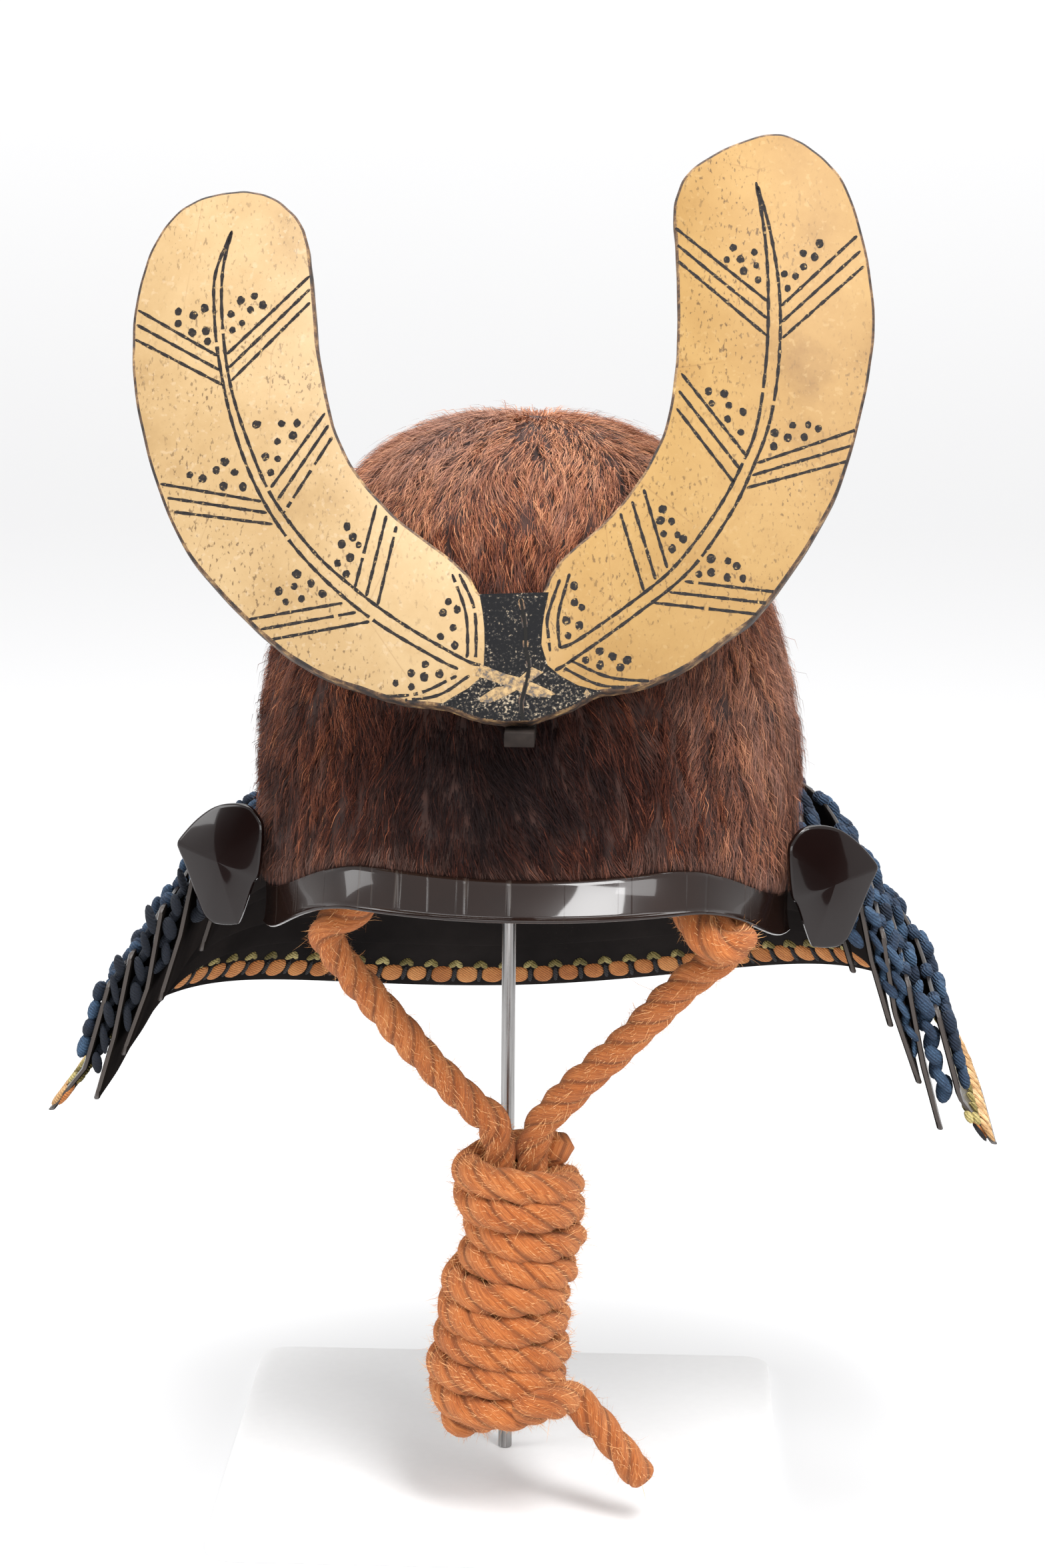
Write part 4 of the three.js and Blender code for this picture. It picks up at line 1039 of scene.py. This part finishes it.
def add_hair(name, material, rng):
    """Strands that lie down the dome in clumps: each is thin, bends once and ends in a point."""
    count, clump_size, depth = HAIR["strands"], HAIR["clump"], HAIR["root_depth"]
    turn, share = fur_roots(count, rng)
    share = np.clip(share, 0.002, 0.985)
    root = fur_skin(turn, share, depth)
    down = unit(fur_skin(turn, share - 0.01, depth) - root)
    aside = unit(fur_skin(turn + 0.5, share, depth) - root)
    out = unit(np.cross(aside, down))
    out *= np.sign((out * (root - (HELMET_X * MM, 0, 0.26))).sum(axis=1))[:, None]
    angle = np.radians(turn)
    u, v = angle * DOME["around"] / clump_size, share * DOME["over"] / (clump_size * 1.8)
    u = u + 0.5 * (np.floor(v) % 2) + 0.3 * np.sin(v * 2.1)
    cell = (np.floor(u) * 997 + np.floor(v) * 131).astype(int) % CLUMPS
    clump = np.random.default_rng(HAIR["seed"]).normal(size=(CLUMPS, 4))[cell]
    flow = (0.26 * np.sin(3 * angle + 1 + 4 * share) + 0.20 * np.sin(7 * angle + 2 - 9 * share)
            + 0.12 * np.sin(13 * angle + 15 * share))
    lean = flow + 0.16 * clump[:, 0] + rng.normal(0, 0.13, count)
    gather = (0.5 - (u - np.floor(u))) * clump_size * 0.5
    length = rng.uniform(HAIR["shortest"], HAIR["longest"], count) * (1 + 0.12 * clump[:, 1])
    rise = 0.0011 + 0.0009 * np.abs(clump[:, 2]) + rng.gamma(1.6, 0.0006, count)
    middle = root + down * (length * 0.5)[:, None] + aside * (lean * length * 0.4 + gather * 0.5)[:, None]
    middle += out * (rise * 0.9)[:, None]
    tip = root + down * length[:, None] + aside * (lean * length + gather)[:, None]
    tip += out * (rise - length**2 / DOME["curve"])[:, None]
    # Strands that would reach past the fur's rim are cut short there
    limit = (fur_rim(turn) + HAIR["above_peak"] + rng.uniform(-1.2, 1.0, count)) * MM
    reach = np.clip((root[:, 2] - limit) / np.maximum(root[:, 2] - tip[:, 2], 1e-4), 0.12, 1)[:, None]
    middle, tip = root + (middle - root) * reach, root + (tip - root) * reach
    wide = unit(np.cross(tip - root, out) + rng.normal(0, 0.35, root.shape) * length[:, None]) * HAIR["width"]
    points = np.stack([root - wide, root + wide, middle + wide * 0.85, middle - wide * 0.85, tip], axis=1)
    mesh = blades(name, points, material, smooth=False).data
    tone, grey = fur_tones(angle, share, clump, rng)
    root_to_tip = np.array([-0.10, -0.10, 0.02, 0.02, 0.10])
    add_values(mesh, "tone", (tone[:, None] + root_to_tip).ravel())
    add_values(mesh, "grey", np.repeat(grey, 5))


def fur_tones(angle, share, clump, rng):
    """How light and how grey each hair is: painted light and sheen on top, upper left and low right; darker
    low in front.
    """
    front = np.clip(np.cos(angle), 0, 1)
    patch = np.sin(5 * angle + 7 * share) * np.sin(9 * share - 3 * angle + 1)
    lower_dark = front**7 * np.exp(-(((share - 0.15) / 0.13) ** 2))
    # painted light and sheen: low on the right side the hairs are made lighter and greyer
    right = np.clip(np.sin(angle), 0, 1) * np.exp(-(((share - 0.22) / 0.16) ** 2))
    # painted light: the hairs grow lighter towards the top
    tone = 0.34 + 0.42 * smoothstep(share, 0.40, 0.76) + 0.10 * patch - 0.46 * lower_dark + 0.32 * right
    tone = tone + (0.07 * clump[:, 3] + rng.normal(0, 0.17, len(angle))) * (1 - 0.5 * lower_dark)
    # painted sheen: the hairs on top and on the upper left are mixed towards grey
    top_left_sheen = smoothstep(share, 0.45, 0.8) * smoothstep(-np.sin(angle), 0.05, 0.6)
    rim = np.exp(-((share / 0.05) ** 2))
    grey = np.clip(0.02 + 0.22 * smoothstep(share, 0.45, 0.8) + 0.36 * top_left_sheen + 0.45 * rim
                   + 0.5 * right + 0.10 * clump[:, 1] - 0.5 * lower_dark, 0, 0.8)
    return tone, grey


def make_hair():
    look = Look("hair", Roughness=0.6, Specular_IOR_Level=0.12)
    colour = look.ramp(
        look.attribute("tone"), (0.0, (0.008, 0.003, 0.003)), (0.26, (0.038, 0.011, 0.007)),
        (0.46, (0.125, 0.034, 0.018)), (0.68, (0.31, 0.100, 0.045)), (0.95, (0.66, 0.30, 0.15)))
    # the grey share mixes in a pale grey-brown: painted sheen on top, on the upper left and low on the right,
    # and elsewhere the hairs' own greyness
    look.set("Base Color", look.mix(look.attribute("grey"), colour, (0.26, 0.155, 0.125)))
    return look.material


def add_fur():
    hide = make_cloudy("hide", 180.0, 5.0, (0.3, (0.012, 0.005, 0.004)), (0.7, (0.055, 0.020, 0.013)),
                       values=dict(Roughness=0.9))
    refined("fur_cover", hide, "fur_hide", angle=180)
    rng = np.random.default_rng(HAIR["seed"])
    hair = make_hair()
    for number in range(HAIR["pieces"]):
        add_hair(f"fur_hair_{number + 1}", hair, rng)


# ------------------------------------------------------------------ lacing (mm)

# Bulges are the turns of a lace pair over a plate; ends are the turns between two plates at their fronts
LACING = dict(columns=17, end_share=0.95, bulge_long=9.2, bulge_wide=6.4, bulge_thick=5.0, step=6.9,
              front_from=0.9, forward=5.5, front_share=0.987, above_edge=12.0, end_step=9.5,
              end_wide=3.4, thinnest=5.0, thickest=13.0, first=0.06, last=0.90, turn_over=(2.9, 2.6, 2.5))
# The braid's ovals, the seams between them and the knots above them; at is a share of the plate's height
EDGE = dict(pitch=11.1, oval=(4.9, 1.4, 5.0), at=1.66, seam=(1.1, 0.9, 4.6), knot=(1.5, 1.5, 3.0),
            knot_at=1.33, proud=0.6)


def plate_frame(lame, place, share, inset):
    """A point on a plate and the ways along it, down it and into it."""
    here, side, below = (
        lame_point(lame, np.array([place + beside]), share + lower, inset)[0]
        for beside, lower in ((0, 0), (0.004, 0), (0, 0.03)))
    along, down = unit(side - here), unit(below - here)
    inward = unit(np.cross(down, along))
    return here, np.cross(inward, down), down, inward


def places_along(lame, share, pitch, inset):
    """Places at an even distance along a plate, the same on both sides."""
    places = np.linspace(-0.985, 0.985, 2401)
    lengths = lengths_along(lame_point(lame, places, share, inset))
    return np.interp(np.linspace(0, lengths[-1], int(lengths[-1] / pitch)), lengths, places)


def pillow(parts, here, axes, sizes, tone, rings=7, sides=10, squareness=1.0):
    """A rounded bulge with its own three ways and half sizes in mm."""
    tilt = np.linspace(0, math.pi, rings)
    spread = np.sin(tilt)[:, None] ** squareness
    local = np.stack([spread * np.cos(circle(sides)), spread * np.sin(circle(sides)),
                      np.broadcast_to(np.cos(tilt)[:, None], (rings, sides))], axis=-1) * sizes
    points = here + local @ np.array(axes)
    parts.add(points * MM, grid_faces(rings, sides, close_columns=True), tone)


def lace_places():
    """The places of the lace columns, spread as in the CAD model."""
    shares = np.linspace(-1, 1, LACING["columns"])
    middle = dict(LAMES[3], top_w=150, bend_w=150, edge_w=150, rear=0, shoulder=0, aside=0)
    places = np.linspace(0, 1, 1201)
    lengths = lengths_along(lame_point(middle, places, 0.0))
    along = np.abs(shares) * LACING["end_share"] * lengths[-1]
    return np.sign(shares) * np.interp(along, lengths, places)


def add_lacing():
    rng = np.random.default_rng(11)
    for number, place in enumerate(lace_places(), start=1):
        parts = Parts()
        for lame, below in zip(LAMES, [*LAMES[1:], None]):
            if abs(place) > LACING["front_from"] and below:
                gap_chain(parts, lame, below, place, rng)
            else:
                first, lowest = LACING["first"], 1.0 if below else LACING["last"]
                length = lame["top_z"] - lame["bend_z"]
                count = max(3, int(round(length * lowest / LACING["step"])))
                for step in range(count):
                    share = first + (lowest - first) * (step + 0.5) / count
                    for half in (-1, 1):
                        bulge(parts, lame, place, share, half, step, rng)
            over_edge(parts, lame, place, rng)
        column = parts.piece(f"lace_column_{number}", navy_silk, "navy_lace")
        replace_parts(column, f"lacing_{number}")


def bulge(parts, lame, place, share, half, step, rng):
    """One plump turn of a lace pair, leaning the other way from its neighbours."""
    wide, thick = LACING["bulge_wide"] / 2, LACING["bulge_thick"] / 2
    here, along, down, inward = plate_frame(lame, place, share, -thick - 0.1)
    if abs(place) > LACING["front_from"]:
        here = here + along * np.sign(place) * LACING["forward"]
    lean = (0.5 if (step % 2) == (half > 0) else -0.3) + rng.normal(0, 0.12)
    long_way = unit(down + along * lean)
    here = here + along * half * (wide * 0.92) + down * (0.8 * half)
    sizes = (wide * rng.uniform(0.9, 1.1), thick * rng.uniform(0.85, 1.2),
             LACING["bulge_long"] / 2 * rng.uniform(0.85, 1.1))
    pillow(parts, here, (np.cross(inward, long_way), inward, long_way), sizes, rng.uniform(0.0, 1.0))


def share_at(lame, z):
    """How far down a plate a height lies, as a share."""
    if z > lame["bend_z"]:
        return max(0.0, (lame["top_z"] - z) / (lame["top_z"] - lame["bend_z"]))
    return min(2.0, 1 + (lame["bend_z"] - z) / (lame["bend_z"] - lame["edge_z"]))


def gap_chain(parts, lame, below, place, rng):
    """The plaited turns that fill the gap between two plates near their front ends."""
    end = np.sign(place) * LACING["front_share"]
    highest, lowest = lame["top_z"] - 3.0, lame["edge_z"] + LACING["above_edge"]
    count = int(round(2 * (highest - lowest) / LACING["end_step"]))
    for step in range(count):
        z = highest + (lowest - highest) * (step + 0.5) / count
        near, along, down, inward = plate_frame(lame, end, share_at(lame, z), 0.0)
        out = -inward
        far = lame_point(below, np.array([end]), share_at(below, z), GUARD["thick"])[0]
        gap = (far - near).dot(out) if z < below["top_z"] + 2 else LACING["bulge_thick"]
        thick = min(max(gap, LACING["thinnest"]), LACING["thickest"])
        side = 1 if step % 2 else -1
        long_way = unit(down + out * side * 0.42 + along * rng.normal(0, 0.3))
        thin_way = unit(out - long_way * out.dot(long_way))
        here = near + out * thick * rng.uniform(0.42, 0.58)
        here = here + along * side * 1.8
        sizes = (LACING["end_wide"] * rng.uniform(0.8, 1.1), thick * rng.uniform(0.26, 0.42),
                 LACING["end_step"] * rng.uniform(0.45, 0.68))
        lit = here[0] > 0  # the laces on the photo's left are in shade there
        tone = rng.uniform(0.3, 1.0) if lit else rng.uniform(-1.2, -0.4)
        pillow(parts, here, (np.cross(thin_way, long_way), thin_way, long_way), sizes, tone, 8, 12)


def over_edge(parts, lame, place, rng):
    """The lace pair's turn over the top edge of a plate."""
    for half in (-1, 1):
        here, along, down, inward = plate_frame(lame, place, 0.0, GUARD["thick"] / 2)
        here = here + along * half * 2.8 - down * 0.2
        pillow(parts, here, (along, inward, down), LACING["turn_over"], rng.uniform(0.2, 0.8))


def add_edge_lacing():
    """The stitched braid along the lowest plate: ovals between knots inside, slanted stitches outside."""
    lowest = LAMES[4]
    for outside in (False, True):
        rng = np.random.default_rng(17 + outside)
        inset = -EDGE["proud"] if outside else GUARD["thick"] + EDGE["proud"]
        ovals, knots, seams = Parts(), Parts(), Parts()
        for place in places_along(lowest, EDGE["at"], EDGE["pitch"], inset):
            here, along, down, inward = plate_frame(lowest, place, EDGE["at"], inset)
            sunk = inward if outside else -inward
            slant = unit(down + along * (0.35 * np.sign(place) if outside else rng.normal(0, 0.08)))
            pillow(ovals, here + sunk * 0.5, (np.cross(inward, slant), inward, slant),
                   np.array(EDGE["oval"]) * rng.uniform(0.93, 1.07, 3), rng.uniform(0.2, 0.8), 9, 14, 0.72)
            beside = here + along * EDGE["pitch"] / 2
            pillow(seams, beside, (along, inward, down), EDGE["seam"], 0.3, 6, 8, 0.8)
            above, along, down, inward = plate_frame(lowest, place, EDGE["knot_at"], inset)
            sunk = inward if outside else -inward
            above = above + along * EDGE["pitch"] / 2 + sunk * 0.3
            for half in (-1, 1):
                lean = unit(down + along * half * 0.8)
                pillow(knots, above + along * half * 1.1, (np.cross(inward, lean), inward, lean),
                       EDGE["knot"], rng.uniform(0.0, 1.0), 6, 8)
        side = "outside" if outside else "inside"
        braid = ovals.piece(f"edge_ovals_{side}", tan_silk if outside else orange_silk, "orange_lace")
        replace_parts(braid, f"edge_lacing_{side}")
        knots.piece(f"edge_knots_{side}", green_gold_silk, "orange_lace")
        seams.piece(f"edge_seams_{side}", tan_silk if outside else dark_silk, "orange_lace")


# ------------------------------------------------------------------ chin cord (metres)

ROPE = dict(radius=0.0065, strands=3, lay=0.036, core=0.30, step=0.0011, sides=30)
FUZZ = dict(count=40000, width=0.00007, seed=7)
SHIFT = np.array([HELMET_X * MM, 0, 0])
RIGHT_STRAND = np.array([
    (-0.058, -0.0892, 0.2619), (-0.058, -0.0905, 0.256), (-0.060, -0.0925, 0.2505),
    (-0.0645, -0.0935, 0.247), (-0.070, -0.093, 0.244), (-0.0723, -0.091, 0.2385),
    (-0.0693, -0.0887, 0.232), (-0.0629, -0.0851, 0.2222), (-0.0565, -0.0823, 0.2137),
    (-0.0495, -0.0795, 0.2044), (-0.0416, -0.0762, 0.194), (-0.0337, -0.0734, 0.1844),
    (-0.0258, -0.0705, 0.1753), (-0.018, -0.0677, 0.167), (-0.0115, -0.0655, 0.1605),
])
LEFT_STRAND = np.array([
    (0.058, -0.0892, 0.2619), (0.0585, -0.091, 0.2565), (0.0615, -0.093, 0.251),
    (0.0675, -0.0945, 0.247), (0.074, -0.0945, 0.2425), (0.0755, -0.0925, 0.236),
    (0.0715, -0.089, 0.2305), (0.0661, -0.086, 0.226), (0.059, -0.0836, 0.219),
    (0.0518, -0.081, 0.211), (0.0447, -0.0782, 0.2024), (0.0372, -0.0756, 0.194),
    (0.0288, -0.0732, 0.1855), (0.0206, -0.0708, 0.177), (0.013, -0.068, 0.168),
    (0.0073, -0.0655, 0.1608),
])
FREE_END = np.array([
    (0.020, -0.0705, 0.0536), (0.0246, -0.0735, 0.050), (0.0303, -0.0755, 0.0448),
    (0.0352, -0.0765, 0.0393), (0.0393, -0.077, 0.0345), (0.0427, -0.077, 0.030),
    (0.0456, -0.077, 0.0258), (0.0483, -0.077, 0.0218),
])
# The loop of the hitch in front of the wearer's left ring.
LEFT_HITCH = np.array([
    (0.0610, -0.0865, 0.2560), (0.0612, -0.0930, 0.2520), (0.0630, -0.0985, 0.2475),
    (0.0675, -0.1020, 0.2425), (0.0735, -0.1025, 0.2395), (0.0785, -0.0995, 0.2400),
    (0.0800, -0.0945, 0.2415), (0.0775, -0.0885, 0.2430), (0.0715, -0.0850, 0.2440),
])
KNOT = dict(y=-0.064, top_z=0.154, turns=9.5, pitch=0.0124, per_turn=14)
# height, sideways place of the middle, radius of the turns
KNOT_SHAPE = np.array([
    (0.036, -0.004, 0.0135), (0.048, -0.009, 0.0195), (0.061, -0.0098, 0.0216), (0.076, -0.007, 0.0198),
    (0.087, -0.0073, 0.0196), (0.100, -0.0055, 0.0193), (0.111, 0.0003, 0.0172), (0.122, 0.001, 0.0176),
    (0.134, -0.0018, 0.020), (0.147, -0.0024, 0.0176), (0.154, -0.0034, 0.0152),
])


def knot_middle(z):
    return np.interp(z, KNOT_SHAPE[:, 0], KNOT_SHAPE[:, 1])


def winding():
    """The wound turns from the lowest to the highest, as points round the knot's middle."""
    count = int(KNOT["turns"] * KNOT["per_turn"])
    share = np.linspace(0, 1, count + 1)
    half = ROPE["radius"]
    low = KNOT["top_z"] - KNOT["turns"] * KNOT["pitch"] + half
    z = low + (KNOT["top_z"] - half - low) * share
    angle = math.radians(-150) - share * KNOT["turns"] * 2 * math.pi
    radius = np.interp(z, KNOT_SHAPE[:, 0], KNOT_SHAPE[:, 2])
    wobble = 1 + 0.03 * np.sin(angle * 2.3 + 1.0)
    return np.stack([
        knot_middle(z) + radius * wobble * np.cos(angle),
        KNOT["y"] + radius * wobble * np.sin(angle),
        z + 0.0009 * np.sin(angle * 1.7),
    ], axis=1)


def core(sideways, high, low):
    z = np.linspace(high, low, 8)
    return np.stack([knot_middle(z) + sideways, np.full(8, KNOT["y"] + 0.001), z], axis=1)


def right_cord_route():
    """Down into the knot's core, round under it and up in turns, with its tail tucked in on top."""
    turns = winding()
    down = core(-0.0062, 0.149, 0.050)
    under = np.array([(turns[0][0] + 0.011, KNOT["y"] + 0.006, 0.043)])
    tail = np.array([turns[-1] + (-0.006, 0.003, -0.004), (-0.001, KNOT["y"] + 0.009, 0.140)])
    return np.vstack([RIGHT_STRAND, down, under, turns, tail])


def left_cord_route():
    """Down through the core, out at the front of the knot and away to its free end."""
    out = np.array([
        (0.000, -0.0715, 0.0585), (-0.0005, -0.0805, 0.0555), (0.0035, -0.0872, 0.0555),
        (0.0095, -0.0878, 0.0568), (0.0155, -0.0815, 0.0562),
    ])
    return np.vstack([LEFT_STRAND, core(0.0062, 0.149, 0.068), out, FREE_END])


def rope_surface(route, phase):
    """A three-strand rope along a route: its points, the line it follows, and how each point lies on it."""
    line, along = resampled(spline(route + SHIFT, 12), ROPE["step"])
    twist = phase + along * (2 * math.pi / ROPE["lay"])
    local = circle(ROPE["sides"])[None, :] - twist[:, None]
    sector = 2 * math.pi / ROPE["strands"]
    nearest = (local + sector / 2) % sector - sector / 2
    core_share, strand_share = ROPE["core"], 1 - ROPE["core"]
    outline = core_share * np.cos(nearest) + np.sqrt(strand_share**2 - (core_share * np.sin(nearest)) ** 2)
    wave = 1 + 0.03 * np.sin(along / 0.0093 + phase) + 0.02 * np.sin(along / 0.0041 + 2 * phase)
    strand = np.floor((local + sector / 2) / sector)
    lump = 0.035 * np.sin(along[:, None] / 0.0061 + 2.1 * strand + phase)
    radius = ROPE["radius"] * outline * (wave[:, None] + lump)
    from_end = along[-1] - along
    close = np.sqrt(np.clip(1 - np.clip(1 - along / 0.003, 0, 1) ** 2, 0.04, 1))
    far = np.sqrt(np.clip(1 - np.clip(1 - from_end / 0.004, 0, 1) ** 2, 0.02, 1))
    radius = radius * (close * far)[:, None]
    points = line[:, None] + rings_along(line, (0.3, -1, 0.2), ROPE["sides"]) * radius[..., None]
    depth = (outline - outline.min()) / (1 - outline.min())
    return points, line, along, local, depth


def rope_piece(name, route, material, phase):
    """A rope with a map that runs along it and round its strands, and the depth of its grooves."""
    points, line, along, local, depth = rope_surface(route, phase)
    rows, sides = local.shape
    rope = new_piece(name, points.reshape(-1, 3), capped_rings(rows, sides), material)
    mesh = rope.data
    corner = np.empty(len(mesh.loops), np.int32)
    mesh.loops.foreach_get("vertex_index", corner)
    u = along[corner // sides] / ROPE["radius"]
    seam = (corner % sides == 0) & np.isin(np.arange(len(corner)) % 4, (1, 2))
    v = local.ravel()[corner] + np.where(seam, 2 * math.pi, 0)
    layer = mesh.uv_layers.new(name="rope")
    layer.data.foreach_set("uv", np.stack([u, v], axis=1).astype(np.float32).ravel())
    add_values(mesh, "depth", depth.ravel())
    return rope, line, points


def make_rope():
    """Fuzzy orange rope: fibres that slant along each strand, and painted shade in the grooves between
    strands.
    """
    look = Look("orange_rope", Roughness=0.9, Sheen_Weight=0.35, Sheen_Roughness=0.45,
                Sheen_Tint=(1.0, 0.62, 0.36))
    slant = look.space((0.35, 2.6, 1), (0, 0, 0.42), uv=True)
    fibre = look.noise(5.5, 5.0, slant, roughness=0.7)
    share = look.blend((fibre, 0.5), (look.noise(1.6, 3.0, slant), 0.3), (look.noise(60.0, 3.0), 0.2))
    colour = look.ramp(share, (0.39, (0.26, 0.055, 0.010)), (0.5, (0.54, 0.142, 0.027)),
                       (0.62, (0.76, 0.28, 0.08)))
    # painted shade: the colour darkens towards the grooves between the strands, by their depth
    crest = look.ramp(look.attribute("depth"), (0.0, 0.0), (0.4, 1.0))
    look.set("Base Color", look.mix(crest, (0.19, 0.042, 0.008), colour))
    look.bump(fibre, 0.0012, 0.9)
    return look.material


def add_fuzz(surfaces, count, material, seed):
    """Fine loose fibres that stand off the rope."""
    rng = np.random.default_rng(seed)
    points = []
    for surface, middle in surfaces:
        share = len(surface) / sum(len(other) for other, _ in surfaces)
        rows = rng.integers(2, surface.shape[0] - 2, int(count * share))
        sides = rng.integers(0, surface.shape[1], len(rows))
        root = surface[rows, sides]
        out = unit(root - middle[rows])
        along = unit(middle[rows + 1] - middle[rows]) * rng.choice([-1, 1], len(rows))[:, None]
        lean = unit(out * rng.uniform(0.25, 1.0, (len(rows), 1)) + along + rng.normal(0, 0.35, out.shape))
        length = rng.gamma(1.5, 0.0012, len(rows))[:, None]
        wide = unit(np.cross(lean, out)) * FUZZ["width"]
        bend = root + lean * length * 0.55 + rng.normal(0, 0.00025, root.shape)
        tip = root + lean * length + out * length * 0.2
        points.append(np.stack([root - wide, root + wide, bend + wide, bend - wide, tip], axis=1))
    return blades("rope_fuzz", np.concatenate(points), material)


def add_rings():
    """The iron rings that the cord is tied to."""
    for name in ("right", "left"):
        low, high = (np.array(corner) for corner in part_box(f"cord_ring_{name}"))
        centre, wire = (low + high) / 2, (high[1] - low[1]) / 2
        radius = (high[0] - low[0]) / 2 - wire
        round_ring, round_wire = circle(48)[:, None], circle(14)[None, :]
        out = radius + wire * np.cos(round_wire)
        points = np.stack([np.cos(round_ring) * out, np.broadcast_to(wire * np.sin(round_wire), (48, 14)),
                           np.sin(round_ring) * out], axis=-1) + centre
        parts = Parts()
        parts.add(points, grid_faces(48, 14, close_rows=True, close_columns=True))
        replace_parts(parts.piece(f"iron_ring_{name}", black_iron, "black_iron"), f"cord_ring_{name}")


def add_cords():
    material = make_rope()
    fibres = make_cloudy("rope_fibres", 900.0, 2.0, (0.35, (0.62, 0.25, 0.07)), (0.65, (0.92, 0.52, 0.24)),
                         values=dict(Roughness=0.7))
    right, right_line, right_skin = rope_piece("rope_right", right_cord_route(), material, 0.0)
    left, left_line, left_skin = rope_piece("rope_left", left_cord_route(), material, 1.2)
    hitch, hitch_line, hitch_skin = rope_piece("rope_hitch_left", LEFT_HITCH, material, 0.5)
    fluff = add_fuzz([(right_skin, right_line), (left_skin, left_line), (hitch_skin, hitch_line)],
                     FUZZ["count"], fibres, FUZZ["seed"])
    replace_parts(right, "chin_cord_right", "chin_knot")
    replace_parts(left, "chin_cord_left", "chin_cord_end")


add_camera()
add_backdrop()
add_lights()
add_flags()
add_rings()
add_cords()
add_stand()
add_peak()
add_guard()
add_crest()
add_fur()
add_lacing()
add_edge_lacing()
